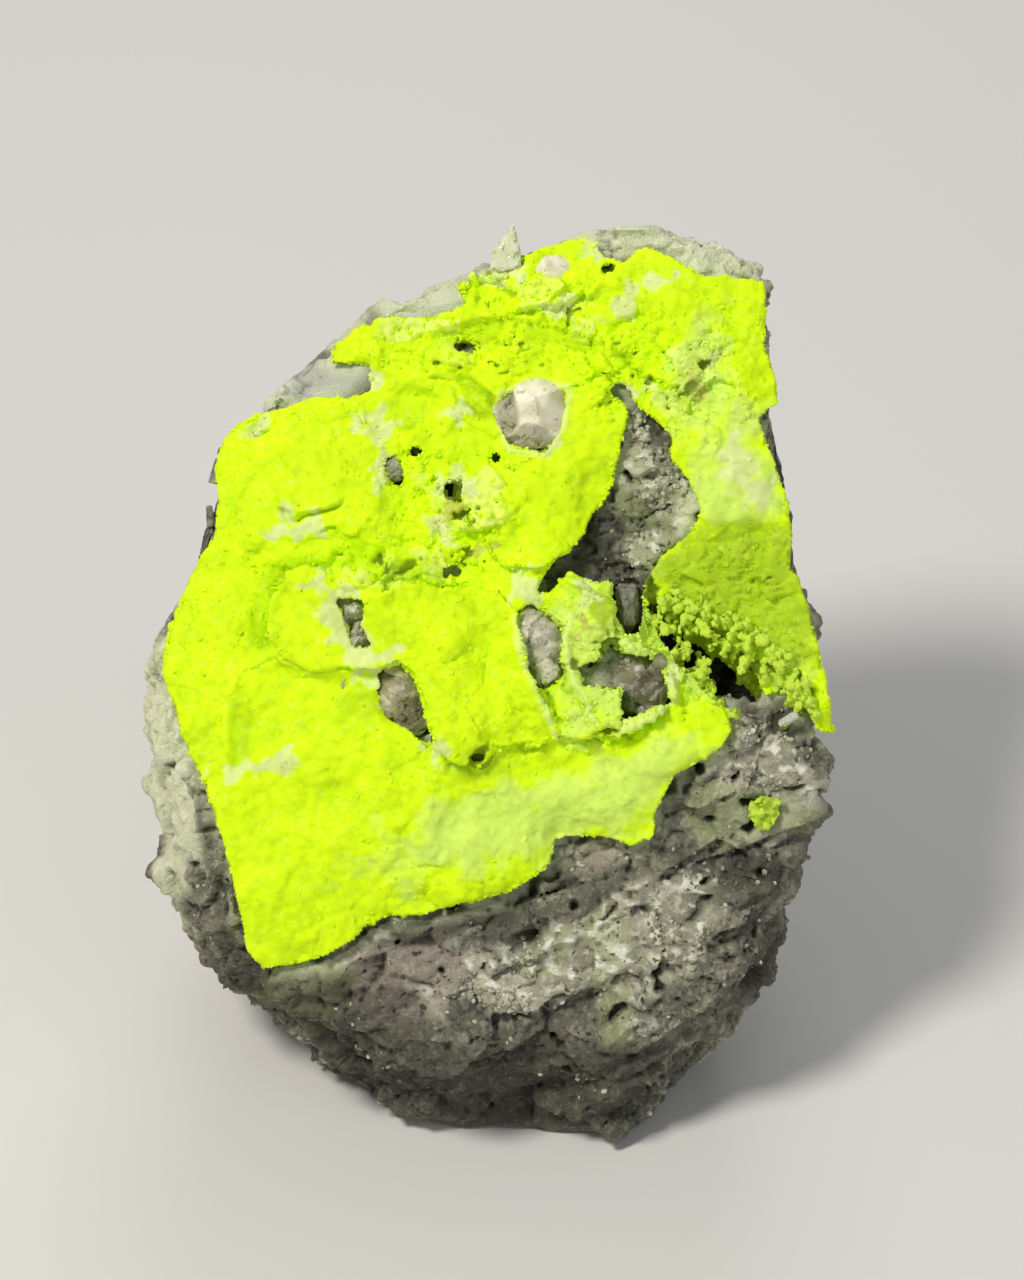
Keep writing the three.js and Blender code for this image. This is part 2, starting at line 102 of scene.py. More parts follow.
MIDDLE_IN_CRUST_BOX = np.array([32.8, 16.66, 23.25])  # from the box's low corner, in mm
crust_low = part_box("autunite_crust")[0]
face_middle = np.array(crust_low) + MIDDLE_IN_CRUST_BOX * MM


def on_face(points):
    """World points in metres, as millimetres across, up and out of the face."""
    moved = (np.asarray(points) - face_middle) / MM
    return np.stack([moved[:, 0], moved @ UP_SLOPE, moved @ OUTWARD], axis=1)


def from_face(x, y, z):
    """A place given on the face, as a world point in metres."""
    return Vector(face_middle + MM * (np.array([x, 0, 0]) + y * UP_SLOPE + z * OUTWARD))


print("face middle in mm:", (face_middle / MM).round(1))

# %% [markdown]
# Most steps are the ones that a modeller does by hand: pick one piece, enter edit mode, add a
# modifier and apply it. These helpers say them in one line each.

# %% Working on one piece at a time
def only(piece):
    """Makes one piece the selected and active one."""
    bpy.ops.object.select_all(action="DESELECT")
    piece.select_set(True)
    bpy.context.view_layer.objects.active = piece


def modify(piece, kind, **settings):
    """Adds one modifier with its settings and applies it."""
    only(piece)
    modifier = piece.modifiers.new(kind.title(), kind)
    for setting, value in settings.items():
        setattr(modifier, setting, value)
    bpy.ops.object.modifier_apply(modifier=modifier.name)


def new_object(name, data):
    """An object that shows some data in the scene."""
    made = bpy.data.objects.new(name, data)
    bpy.context.scene.collection.objects.link(made)
    return made


def copy_of(node, name):
    """A copy of a solid as one welded mesh, which stands for it from now on."""
    piece = new_object(name, frame["nodes"][node].data.copy())
    piece.data.materials.clear()
    only(piece)
    bpy.ops.object.mode_set(mode="EDIT")
    bpy.ops.mesh.select_all(action="SELECT")
    bpy.ops.mesh.remove_doubles(threshold=0.005 * MM)
    bpy.ops.object.mode_set(mode="OBJECT")
    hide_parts(node)
    return piece


def even_skin(piece, grid_mm, turns=0):
    """Gives a piece a skin of even, small faces, and smooths it some turns."""
    modify(piece, "REMESH", mode="VOXEL", voxel_size=grid_mm * MM)
    if turns:
        modify(piece, "SMOOTH", factor=0.5, iterations=turns)


def shade(piece, sharp_from=None):
    """Shades a piece smooth, but for edges sharper than an angle in degrees if one is given."""
    only(piece)
    if sharp_from is None:
        bpy.ops.object.shade_smooth()
    else:
        bpy.ops.object.shade_smooth_by_angle(angle=math.radians(sharp_from))


def triangles_of(piece):
    return sum(len(p.vertices) - 2 for p in piece.data.polygons)


def finish_piece(piece, material, slot):
    """Gives a piece its finish and lets it move with the specimen."""
    piece.data.materials.append(material)
    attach(piece, "root")
    print(piece.name, len(piece.data.polygons), "faces,", slot)


# %% [markdown]
# Stone relief has to follow the stone: grains break along flat faces, each with a slope of its own,
# while growth is soft and lumpy. So the relief is worked out at every point of an even, fine skin
# and pushes the point along its normal, as a sculpting brush does. The noise is the same on each
# run.

# %% Reading and moving points
def read(items, name, shape=(-1, 3), kind=float):
    """One property of all points, faces or corners, as an array."""
    values = np.empty(len(items) * shape[-1], kind)
    items.foreach_get(name, values)
    return values.reshape(shape)


def points_of(piece):
    return read(piece.data.vertices, "co")


def normals_of(piece):
    return read(piece.data.vertices, "normal")


def push(piece, height_mm, direction=None):
    """Moves each point by a height, along its normal unless a direction is given."""
    along = normals_of(piece) if direction is None else direction
    moved = points_of(piece) + along * (height_mm * MM)[:, None]
    piece.data.vertices.foreach_set("co", moved.ravel())
    piece.data.update()


def paint(piece, **layers):
    """Stores named values from 0 to 1 on every point, for a material to read."""
    for name, values in layers.items():
        layer = piece.data.attributes.new(name, "FLOAT", "POINT")
        layer.data.foreach_set("value", np.clip(values, 0, 1).astype(np.float32))


def thin_spare(piece, spare):
    """Decimates the spare part of a piece alone, so more than SKIN_TRIANGLES may be left."""
    group = piece.vertex_groups.new(name="spare")
    group.add(np.nonzero(spare > 0.5)[0].tolist(), 1.0, "REPLACE")
    ratio = SKIN_TRIANGLES / triangles_of(piece)
    if ratio < 1:
        modify(piece, "DECIMATE", ratio=ratio, vertex_group="spare", vertex_group_factor=10)
    piece.vertex_groups.clear()


def hollowness(piece, turns):
    """How far each point lies below its smoothed surroundings, in millimetres."""
    twin = new_object("twin", piece.data.copy())
    modify(twin, "SMOOTH", factor=0.5, iterations=turns)
    depth = ((points_of(twin) - points_of(piece)) * normals_of(piece)).sum(axis=1) / MM
    bpy.data.objects.remove(twin)
    return depth


# %% Noise
def each(points, size_mm, rule, seed=0.0):
    """One value per point from a rule that reads coordinates scaled to a pattern size."""
    return np.array([rule(Vector(p)) for p in points / (size_mm * MM) + seed])


def soft(points, size_mm, seed=0.0):
    """Rounded noise from about -1 to 1."""
    return each(points, size_mm, noise.noise, seed)


def cloudy(points, size_mm, seed=0.0):
    """Noise in four octaves from about -1 to 1."""
    return each(points, size_mm, lambda p: noise.fractal(p, 0.8, 2.0, 4), seed)


def ridged(points, size_mm, seed=0.0):
    """Sharp crests from 0 to about 1.8."""
    settings = (0.9, 2.1, 4, 1.0, 2.0)
    return each(points, size_mm, lambda p: noise.ridged_multi_fractal(p, *settings), seed)


def broken(points, size_mm, slope, step, seed=0.0):
    """Grains that broke along flat faces: relief in mm, and a tone from 0 to 1 per grain."""
    relief, tone = [], []
    for p in points / (size_mm * MM) + seed:
        centre = noise.voronoi(Vector(p))[1][0]
        lean = noise.cell_vector(centre * 31) - Vector((0.5, 0.5, 0.5))
        pick = noise.cell(centre * 57)
        relief.append((Vector(p) - centre).dot(lean) * slope + pick * step)
        tone.append(pick * 0.5 + 0.5)
    return np.array(relief) * size_mm, np.array(tone)


def seam_distance(points, size_mm, seed=0.0):
    """How far each point lies from the seam of its grain in broken's pattern, in millimetres."""
    def gap(p):
        nearest, second = noise.voronoi(p)[0][:2]
        return second - nearest

    return each(points, size_mm, gap, seed) * size_mm


def cells(points, size_mm, seed=0.0):
    """Round lumps: 1 in the middle of each and 0 between them."""
    return each(points, size_mm, lambda p: 1 - min(1, noise.voronoi(p)[0][0] * 1.25), seed)


# %% Places on the face
def fade(value, start, end):
    """0 at start, 1 at end and a smooth rise between them."""
    share = np.clip((value - start) / (end - start), 0, 1)
    return share * share * (3 - 2 * share)


def spots(face, places, wobble, ragged=0.3, blur=0.3):
    """1 inside a set of ellipses on the face (x, y, half width, half height, turn), 0 outside."""
    inside = np.zeros(len(face))
    for x, y, half_x, half_y, turn in places:
        c, s = math.cos(turn), math.sin(turn)
        along = ((face[:, 0] - x) * c + (face[:, 1] - y) * s) / half_x
        across = ((face[:, 1] - y) * c - (face[:, 0] - x) * s) / half_y
        distance = np.hypot(along, across) + ragged * wobble
        inside = np.maximum(inside, 1 - fade(distance, 1 - blur, 1 + blur))
    return inside


def to_segment(face, a, b):
    """Distance of each point to a straight line piece, share of the way along it, and side."""
    along = np.array([b[0] - a[0], b[1] - a[1]])
    offset = face[:, :2] - np.array(a)
    share = np.clip(offset @ along / (along @ along), 0, 1)
    gap = np.hypot(*(offset - share[:, None] * along).T)
    return gap, share, np.sign(along[1] * offset[:, 0] - along[0] * offset[:, 1])


def line_distance(face, lines):
    """Distance of each point to the nearest of some bent lines on the face, in millimetres."""
    segments = [ends for line in lines for ends in zip(line, line[1:])]
    return np.min([to_segment(face, a, b)[0] for a, b in segments], axis=0)


def beside(face, line):
    """Signed distance to a bent line, positive on its right, and a weight that ends with it."""
    nearest, right, passed = np.full(len(face), 1e9), np.ones(len(face)), np.zeros(len(face))
    for number, (a, b) in enumerate(zip(line, line[1:])):
        gap, share, side = to_segment(face, a, b)
        closer = gap < nearest
        nearest = np.where(closer, gap, nearest)
        right = np.where(closer, side, right)
        passed = np.where(closer, number + share, passed)
    ends = fade(passed, 0, 1) * fade(len(line) - 1 - passed, 0, 1)
    return nearest * right, ends * (nearest < 8)


# %% [markdown]
# ## Camera, light and table
#
# The camera looks square at the crusted face, 38 degrees down, through a long lens. The light is a
# big soft lamp high on the left with a weaker one on the right, so lumps and ledges keep their
# shadows. The table is plain and pale.

# %% Camera
CAMERA_DISTANCE = 450 * MM
FRAME_HEIGHT = 128 * MM  # what the view takes in at the face, top to bottom
AIM = (2.2, 5.0)  # on the face, across and up

camera_data = bpy.data.cameras.new("camera")
camera_data.sensor_width = 36
camera_data.lens = camera_data.sensor_width * CAMERA_DISTANCE / FRAME_HEIGHT
camera_data.clip_start = 0.01
camera = new_object("camera", camera_data)
camera.location = from_face(*AIM, CAMERA_DISTANCE / MM)
camera.rotation_euler = (FACE_TILT, 0, 0)
bpy.context.scene.camera = camera
print("lens", round(camera_data.lens), "mm")

# %% [markdown]
# Colours are given as sRGB codes and turned into linear light by one function. Every shader node
# is added by one helper, which also sets its values and links.

# %% Colours and nodes
def linear(code):
    """An sRGB hex colour as the linear colour that shaders take."""
    parts = [int(code[i:i + 2], 16) / 255 for i in (0, 2, 4)]
    return [p / 12.92 if p <= 0.04045 else ((p + 0.055) / 1.055) ** 2.4 for p in parts] + [1]


def new_material(name):
    material = bpy.data.materials.new(name)
    material.use_nodes = True
    material.node_tree.nodes.clear()
    return material


def add(material, kind, inputs=(), **settings):
    """Adds a node. Inputs are (socket, value or another node's output socket)."""
    node = material.node_tree.nodes.new("ShaderNode" + kind)
    for setting, value in settings.items():
        setattr(node, setting, value)
    for socket, value in inputs:
        if isinstance(value, bpy.types.NodeSocket):
            material.node_tree.links.new(value, node.inputs[socket])
        else:
            node.inputs[socket].default_value = value
    return node


def surface(material, inputs):
    """Closes a material with one principled shader."""
    shader = add(material, "BsdfPrincipled", inputs)
    add(material, "OutputMaterial", [("Surface", shader.outputs["BSDF"])])
    return material


# %% Table, lamps and tone
LAMPS = {  # place from the specimen's middle, size, power, colour
    "key_lamp": ((-0.28, -0.22, 0.55), 0.16, 3.3, "FFFCF5"),
    "fill_lamp": ((0.5, -0.4, 0.25), 0.5, 0.9, "F4F8FF"),
    "rim_lamp": ((0.05, 0.5, 0.4), 0.4, 1.0, "FFFFFF"),
}
middle = (cad_low + cad_high) / 2
for name, (offset, size, power, colour) in LAMPS.items():
    data = bpy.data.lights.new(name, "AREA")
    data.shape = "DISK"
    data.size = size
    data.energy = power
    data.color = linear(colour)[:3]
    lamp = new_object(name, data)
    lamp.location = middle + Vector(offset)
    lamp.rotation_euler = (middle - lamp.location).to_track_quat("-Z", "Y").to_euler()

world = bpy.data.worlds.new("studio")
world.use_nodes = True
sky = world.node_tree.nodes["Background"].inputs
sky["Color"].default_value = linear("E9EBEE")
sky["Strength"].default_value = 0.28
bpy.context.scene.world = world
bpy.context.scene.view_settings.view_transform = "Standard"

bpy.ops.mesh.primitive_plane_add(size=3, location=(0, 0, cad_low.z))
table = bpy.context.object
table.name = "table"
laminate = [("Base Color", linear("DAD8D3")), ("Roughness", 0.7)]
table.data.materials.append(surface(new_material("Matt pale laminate"), laminate))

# %% [markdown]
# ## Host rock
#
# The matrix is a broken piece of greisen-like granite: interlocked grains of grey quartz, pale and
# pinkish feldspar and dark mica, in faint layers that climb to the right. The solid gives its
# outline. A voxel remesh gives it an even skin and smoothing takes the facets away. Then the
# breakage goes on from coarse to fine: blocks, grains and chips, each a cell with a slope of its
# own, with cracks between the blocks and small holes where grains fell out.

# %% Host rock: even skin
rock = copy_of("host_rock", "host_rock_stone")
even_skin(rock, 0.3, turns=8)
print("rock skin:", len(rock.data.vertices), "points")

# %% [markdown]
# The skin under the crust is never seen, so its triangles are spent elsewhere, and its relief must
# not push through the crust. A ray sent out of the face from each point tells what is covered.

# %% Host rock: what the crust covers
outward = Vector(OUTWARD)


def tree_of(*pieces):
    """The faces of some pieces, ready to be hit by rays."""
    points, faces = [], []
    for piece in pieces:
        faces += [[len(points) + i for i in p.vertices] for p in piece.data.polygons]
        points += [v.co for v in piece.data.vertices]
    return BVHTree.FromPolygons(points, faces)


def covered_by(tree, points, blur_mm=0.7, reach_mm=9):
    """Share of rays that hit a tree, from each point and from beside it."""
    blur = blur_mm * MM
    starts = [Vector((x, 0, 0)) for x in (0, -blur, blur)]
    starts += [Vector(UP_SLOPE * blur_mm * MM * way) for way in (-1, 1)]

    def hits(point):
        found = [tree.ray_cast(Vector(point) + s, outward, reach_mm * MM)[0] for s in starts]
        return sum(place is not None for place in found)

    return np.array([hits(point) for point in points]) / len(starts)


def distance_to(tree, points):
    """Distance from each point to the nearest face of a tree, in millimetres."""
    return np.array([tree.find_nearest(Vector(p))[3] for p in points]) / MM


def thickness(tree, points, reach_mm=6):
    """How much of a skin lies under each point, straight into the face, in millimetres."""
    reach, inside = reach_mm * MM, outward * 0.05 * MM
    found = [tree.ray_cast(Vector(p) - inside, -outward, reach)[3] for p in points]
    return np.array([reach if hit is None else hit for hit in found]) / MM


crust_tree = tree_of(frame["nodes"]["autunite_crust"], frame["nodes"]["autunite_patch"])
start = points_of(rock)
hidden = covered_by(crust_tree, start) * (normals_of(rock) @ OUTWARD > 0)
thin_spare(rock, np.maximum(hidden, start[:, 2] < 0.4 * MM))
start = points_of(rock)
facing = normals_of(rock) @ OUTWARD
front = fade(facing, -0.6, -0.2)
covered = covered_by(crust_tree, start) * (facing > 0)
near_crust = (1 - fade(distance_to(crust_tree, start), 0.4, 2.6)) * front
rock_start = start
rock_face = on_face(start)
rock_wobble = soft(start, 5)
print("points:", len(start), "covered share:", round(float(covered.mean()), 2))

# %% [markdown]
# The rock's features are listed as ellipses on the face: the middle across and up, half the width,
# half the height, all in millimetres, and a turn in radians. Noise makes their edges irregular.

# %% Host rock: places
SHALLOW_GAPS = [(-13.6, 7.3, 2, 3.2, 0.35), (-9.4, 22, 0.8, 1.6, 0.1)]
FELDSPAR_PINK = [
    (-9, -29, 8, 4, -0.1), (-7, -20.5, 2, 1.2, 0), (10, -17, 3, 1.6, 0.4), (26, -9, 3, 2, 0),
]
# Pale sugary bands; the band on the left flank is partly a painted highlight where that side is lit.
PALE_ZONES = [
    (4, -29, 9, 4, 0.3), (17, -24, 9, 5, 0.5), (20, 45, 9, 3.5, -0.4), (17.6, 21, 3.4, 5, 0.3),
    (-33, -6, 3, 12, 0), (-13, 6.6, 3, 4, 0.3), (16, 14, 3, 2, 0), (11, 46, 9, 2.6, 0),
    (29, 34, 2, 8, 0), (27, -7, 5, 4, -0.4), (14.6, 26, 2, 3, 0), (-9.4, 23, 1.2, 1.4, 0),
]
BLOOM_ZONES = [  # yellowish dust and the cream rim of the top edges
    (12, 45.6, 9, 2.4, 0), (23, 42.6, 5, 2.4, -0.5), (-6, 40.6, 7.5, 1.7, 0.37),
    (-14, 34.6, 5, 1, 0.5), (-22.6, 28.8, 4, 1, 0.75), (12, 28, 1.6, 1.4, 0), (20.6, 17, 2, 4, 0),
    (-33, -6, 3.4, 17, 0.1), (27.4, 42.2, 3.4, 2, -0.5), (-14.6, 36.4, 3.4, 1.6, 0.7),
]
TRIM = [  # flanks that the crust reaches over
    (31.6, 27, 3.6, 20, -0.12), (-31, 14.6, 2.6, 9, -0.36), (30.4, 36, 2.6, 5.6, 0),
    (-25.6, 27, 3, 1.3, 0.8), (34.6, 2.4, 1.6, 2.6, 0), (-35.4, -15.6, 1.8, 2.2, 0),
]
GREEN_ZONES = [
    (-19, -31, 5, 4, 0.3), (16, 19, 4, 7, 0), (4.8, -26.7, 3, 2, 0.6), (25, -13, 5, 4, 0),
    (12, -31.5, 2, 4, 0.2), (12, -25, 2, 3, 0.4),
]
# Dark rock, and along the foot a wide band of painted shade, so the rock grows darker towards the
# bottom.
DARK_ZONES = [
    (-14, -34, 8, 4, -0.2), (-4, -23.4, 9, 1.4, 0.25), (10.6, 14, 2.8, 3.4, -0.2),
    (8, 11, 2.6, 1.8, 0.4), (4, -41, 24, 5, 0), (26, -19, 4, 3, 0.6), (-24, -27, 4, 4, -0.6),
    (29, -29, 3, 5, 0.2),
]
GLASSY_ZONES = [(-6, 38.4, 5, 2, 0.15), (-17.5, 31, 6, 2.6, 0.5)]
POCKET_ZONE = [(22.2, 2.8, 7, 2.8, -0.75)]
CRYSTAL_SEATS = [(13.9, 7.4, 1.6, 3.6, 0), (29.8, -3, 2, 2, 0)]
HOLLOW_ROCK = [(14.6, 18, 5, 11, -0.2), (9.5, 11.6, 4, 3, 0.4)]
# Painted shade at the bottoms of small gaps, which are also sunk.
PITS = [  # dark bottoms of small gaps
    (-3.9, 20, 2.2, 2.2, 0), (-12, 13.6, 3, 1.6, 0), (-8.6, 20.4, 0.8, 0.8, 0),
    (12.6, -33, 1.4, 0.5, 0.7), (12, -22.4, 0.9, 0.4, 0.7),
]

DEEPEST_GAP = -14  # mm; rock that lies further in belongs to the back
not_back = rock_face[:, 2] > DEEPEST_GAP
shallow = spots(rock_face, SHALLOW_GAPS, rock_wobble, 0.2) * fade(rock_face[:, 2], -6, -4)
shallow = shallow * (1 - covered) * fade(facing, 0.3, 0.6)
in_pocket = spots(rock_face, POCKET_ZONE, rock_wobble, 0.1) * fade(-rock_face[:, 2], 2.5, 5)
in_pocket = in_pocket * not_back
print("points in the pocket:", int((in_pocket > 0.5).sum()))

# %% [markdown]
# Each kind of breakage is worked out on its own: slabs, blocks and grains lie in the layers and are
# longer along them, while chips and the rock in the gaps have no direction.

# %% Host rock: layers, blocks, grains and chips
LAYER_TURN = math.radians(24)
LAYER_STRETCH = 1.8  # grains are this much longer along a layer
GRAIN_MM, GRAIN_SEED = 1.5, 11


def layered(face):
    """Face coordinates squeezed along the faint layers, as lengths in metres."""
    c, s = math.cos(LAYER_TURN), math.sin(LAYER_TURN)
    along = face[:, 0] * c + face[:, 1] * s
    across = face[:, 1] * c - face[:, 0] * s
    return np.stack([along / LAYER_STRETCH, across, face[:, 2]], axis=1) * MM


layers = layered(rock_face)
slabs, slab_tone = broken(layers, 8, 0.4, 0.05, 1)
blocks, block_tone = broken(layers, 3.4, 0.75, 0.16, 3)
grains, grain_tone = broken(layers, GRAIN_MM, 0.7, 0.16, GRAIN_SEED)
chips, chip_tone = broken(start, 0.75, 0.8, 0.22, 23)
crags = ridged(layers, 5, 13) - 1.1
in_hollow = spots(rock_face, HOLLOW_ROCK, rock_wobble, 0.2) * not_back
sharp, _ = broken(start, 1.7, 0.8, 0.2, 15)
grain_seam = seam_distance(layers, GRAIN_MM, GRAIN_SEED)
seams = np.exp(-(grain_seam / 0.15) ** 2) * fade(rock_wobble, 0, 0.3)
holes = fade(soft(start, 1.4, 17) + 0.7 * soft(start, 4, 31), 0.72, 0.86)

# %% [markdown]
# The relief adds them up, each with its height. It is damped where the crust covers the rock or
# comes near it, and at the foot, which stays flat. Places for the colours are painted after it.

# %% Host rock: relief
clear_of_foot = fade(start[:, 2] / MM, 0.5, 2.5)
seats = spots(rock_face, CRYSTAL_SEATS, rock_wobble, 0.1)
glassy_rock = spots(rock_face, GLASSY_ZONES, rock_wobble, 0.3) * front
pits = spots(rock_face, PITS, soft(start, 1.2, 9) + 0.5 * soft(start, 0.6, 3), 0.9) * front
holes *= 1 - glassy_rock
relief = 0.6 * cloudy(start, 9) + 0.8 * slabs + 1.0 * blocks + 0.7 * grains + 0.6 * crags - 0.3
rough = 0.9 * sharp + 0.7 * cloudy(start, 4, 6) + 0.5 * blocks
relief = relief * (1 - in_hollow) + rough * in_hollow
relief += (0.75 + 0.25 * in_hollow) * chips - 0.25 * seams - 1.1 * holes
trim = spots(rock_face, TRIM, rock_wobble, 0.1, 0.5)
bloom = spots(rock_face, BLOOM_ZONES, rock_wobble, 0.5) * front
relief *= 1 - np.maximum(0.6 * glassy_rock, np.maximum(0.7 * trim, 0.3 * bloom))
kept_low = np.maximum(covered, (0.85 - 0.5 * in_hollow) * near_crust)
relief -= (np.maximum(relief, 0) + 0.3 * covered) * kept_low
relief -= 1.2 * (covered > 0.99) * (facing > 0.7)
relief -= 1.8 * trim
relief = relief * (1 - seats) - 1.1 * seats + (0.6 * grains + 0.5 * chips) * shallow - pits
push(rock, relief * clear_of_foot)
push(rock, 3.3 * shallow, OUTWARD)  # shallow gaps show stone close below the crust
modify(rock, "SMOOTH", factor=0.35, iterations=1)
thorns = np.maximum(-hollowness(rock, 6) - 0.1, 0)
push(rock, -0.9 * thorns)  # broken grain has edges, but no thorns

# %% Host rock: paint
paint(rock, grain=grain_tone, chip=chip_tone, block=block_tone, slab=slab_tone)
# Painted shade: the holes where grains fell out, the seams between grains and the pits are darkened.
paint(rock, hole=np.maximum(np.maximum(holes, 0.6 * seams) * (1 - shallow), 0.8 * pits))
# Painted shade: the rock darkens in its fine and wide hollows, less in glassy zones and bloom, not in
# shallow gaps.
sunk_fine, sunk_wide = hollowness(rock, 14), hollowness(rock, 90)
cavities = np.maximum(fade(sunk_fine, 0.05, 0.35), 0.9 * fade(sunk_wide, 0.15, 0.8))
paint(rock, hollow=cavities * (1 - shallow) * (1 - 0.7 * glassy_rock) * (1 - 0.5 * bloom))
broad = soft(start, 13, 51)
for name, places, on_back in (
    ("pink", FELDSPAR_PINK, fade(-broad, 0.25, 0.5)),
    ("pale", PALE_ZONES, fade(broad, 0.05, 0.45)),
    ("green", GREEN_ZONES, fade(soft(start, 9, 63), 0.3, 0.55)),
    ("dark", DARK_ZONES, fade(soft(start, 9, 77), 0.1, 0.5)),
):
    on_front = spots(rock_face, places, rock_wobble, 0.7) * front
    paint(rock, **{name: on_front + 0.8 * on_back * (1 - front)})
# The pocket's inside is painted near black: painted shade.
paint(
    rock,
    glassy=glassy_rock,
    bloom=np.maximum(bloom, 0.5 * near_crust * (1 - in_hollow)) * (1 - pits),
    pocket=in_pocket,
)
shade(rock, 35)
print("zones painted:", [layer.name for layer in rock.data.attributes if layer.domain == "POINT"])

# %% [markdown]
# The rock's colour follows the breakage: every grain and chip has its own grey and mica is black.
# The seams, holes and hollows that the relief makes get painted shade, and the pocket's inside is
# painted near black. The zones are the real ones: pinkish feldspar, pale sugary bands, a green
# bloom of the uranium mineral, and glassy grey quartz; the dark band along the foot is painted shade.

# %% Shader helpers
def per_mm(size_mm):
    """Texture scale whose cells measure the given size, on coordinates in metres."""
    return 1 / (size_mm * MM)


def attribute(material, name):
    return add(material, "Attribute", attribute_name=name).outputs["Fac"]


def ramp(material, value, stops):
    """A colour ramp from (position, hex) stops."""
    node = add(material, "ValToRGB", [("Fac", value)])
    elements = node.color_ramp.elements
    while len(elements) < len(stops):
        elements.new(0.5)
    for element, (position, code) in zip(elements, stops):
        element.position = position
        element.color = linear(code)
    return node.outputs["Color"]


def blend(material, share, under, over, mode="MIX"):
    """Lays one colour over another by a share."""
    inputs = [(0, share), (6, under), (7, over)]
    return add(material, "Mix", inputs, data_type="RGBA", blend_type=mode).outputs[2]


def window(material, value, low, high, top=1.0, bottom=0.0):
    """Turns a value into bottom below low and top above high."""
    limits = [("From Min", low), ("From Max", high), ("To Min", bottom), ("To Max", top)]
    return add(material, "MapRange", [("Value", value), *limits]).outputs["Result"]


def zones(material, colour, *tints):
    """Tints a colour where attributes are painted, by (name, hex, share), one over another."""
    for name, code, share in tints:
        painted = window(material, attribute(material, name), 0.1, 0.9, share)
        colour = blend(material, painted, colour, linear(code))
    return colour


def coordinates(material):
    """Places in metres that go with the piece."""
    return add(material, "TexCoord").outputs["Object"]


def clouds(material, place, size_mm, detail):
    """Soft noise of a size, as a value and as a colour."""
    inputs = [("Vector", place), ("Scale", per_mm(size_mm)), ("Detail", detail)]
    return add(material, "TexNoise", inputs).outputs


def crystals(material, place, size_mm, channel):
    """One value for each small cell."""
    cells = add(material, "TexVoronoi", [("Vector", place), ("Scale", per_mm(size_mm))])
    return add(material, "SeparateColor", [("Color", cells.outputs["Color"])]).outputs[channel]


def calculate(material, kind, operation, first, second):
    """A sum or product of two values ("Math") or of two vectors ("VectorMath")."""
    return add(material, kind, [(0, first), (1, second)], operation=operation).outputs[0]


def bumps(material, height, strength, depth_mm):
    inputs = [("Strength", strength), ("Distance", depth_mm * MM), ("Height", height)]
    return add(material, "Bump", inputs).outputs["Normal"]


# %% Greisen granite
def granite():
    stone = new_material("Broken greisen granite")
    place = coordinates(stone)
    warp = clouds(stone, place, 1.5, 2.0)["Color"]
    bent = calculate(stone, "VectorMath", "MULTIPLY", warp, (0.6 * MM, 0.6 * MM, 0.6 * MM))
    moved = calculate(stone, "VectorMath", "ADD", place, bent)
    grit = crystals(stone, moved, 0.42, "Green")
    cloud = clouds(stone, place, 6, 5.0)["Fac"]
    specks = clouds(stone, moved, 0.9, 3.0)["Fac"]

    grain, chip = attribute(stone, "grain"), attribute(stone, "chip")
    sugar = ramp(stone, chip, [(0.5, "8A8872"), (0.75, "C4C2AB"), (1, "F8F6E6")])
    grain = ramp(stone, grain, [(0.5, "6A6854"), (0.7, "94927C"), (0.9, "BDBAA4"), (1, "DDDAC6")])
    chip = ramp(stone, chip, [(0.5, "504E3A"), (0.66, "85836D"), (0.84, "C3C0A9"), (1, "F6F3E2")])
    fine = ramp(stone, grit, [(0.05, "37362A"), (0.3, "7F7D69"), (0.7, "BAB8A2"), (1, "F4F1E0")])
    colour = blend(stone, 0.65, grain, chip)
    colour = blend(stone, 0.4, colour, fine)
    for value, low, dark, high, share in (
        (attribute(stone, "block"), 0.5, "A5A294", 0.85, 0.8),
        (attribute(stone, "slab"), 0.5, "A8A597", 0.8, 0.7),
        (cloud, 0.35, "8F8C82", 0.6, 0.85),
    ):
        darker = ramp(stone, value, [(low, dark), (high, "FFFFFF")])
        colour = blend(stone, share, colour, darker, "MULTIPLY")
    colour = zones(stone, colour, ("pink", "AE9A8E", 0.5), ("green", "93A05C", 0.5))
    pale = window(stone, attribute(stone, "pale"), 0.1, 0.9, 0.9)
    colour = blend(stone, pale, colour, sugar, "SCREEN")
    colour = blend(stone, 0.13, colour, linear("D8D6BC"))
    # Dark rock, and painted shade along the foot.
    colour = zones(stone, colour, ("dark", "39382A", 0.66))
    mica = window(stone, specks, 0.64, 0.69, 0.85)
    colour = blend(stone, mica, colour, linear("24241F"))
    # Glassy and bloom are the rock's own colours; hollows, holes and the pocket's inside get painted
    # shade.
    colour = zones(
        stone, colour, ("glassy", "C3C6B6", 0.8), ("bloom", "DEE2BC", 0.75),
        ("hollow", "26251F", 0.75), ("hole", "17170F", 0.85), ("pocket", "0C0E07", 1.0),
    )

    gloss = window(stone, grit, 0.7, 0.9)
    height = calculate(stone, "Math", "ADD", grit, clouds(stone, place, 0.3, 3.0)["Fac"])
    return surface(stone, [
        ("Base Color", colour), ("Roughness", window(stone, gloss, 0, 1, 0.3, 0.85)),
        ("Normal", bumps(stone, height, 0.85, 0.25)), ("IOR", 1.54),
    ])


granite_material = granite()
finish_piece(rock, granite_material, "rock")

# %% [markdown]
# ## Autunite crust
#
# The crust grew on the face as thousands of tiny tablets, in overlapping layers up to a few
# millimetres thick. Its layers end in crisp scalloped edges, its upper part is torn and full of
# small holes, and a smooth paler terrace runs along its lower right.

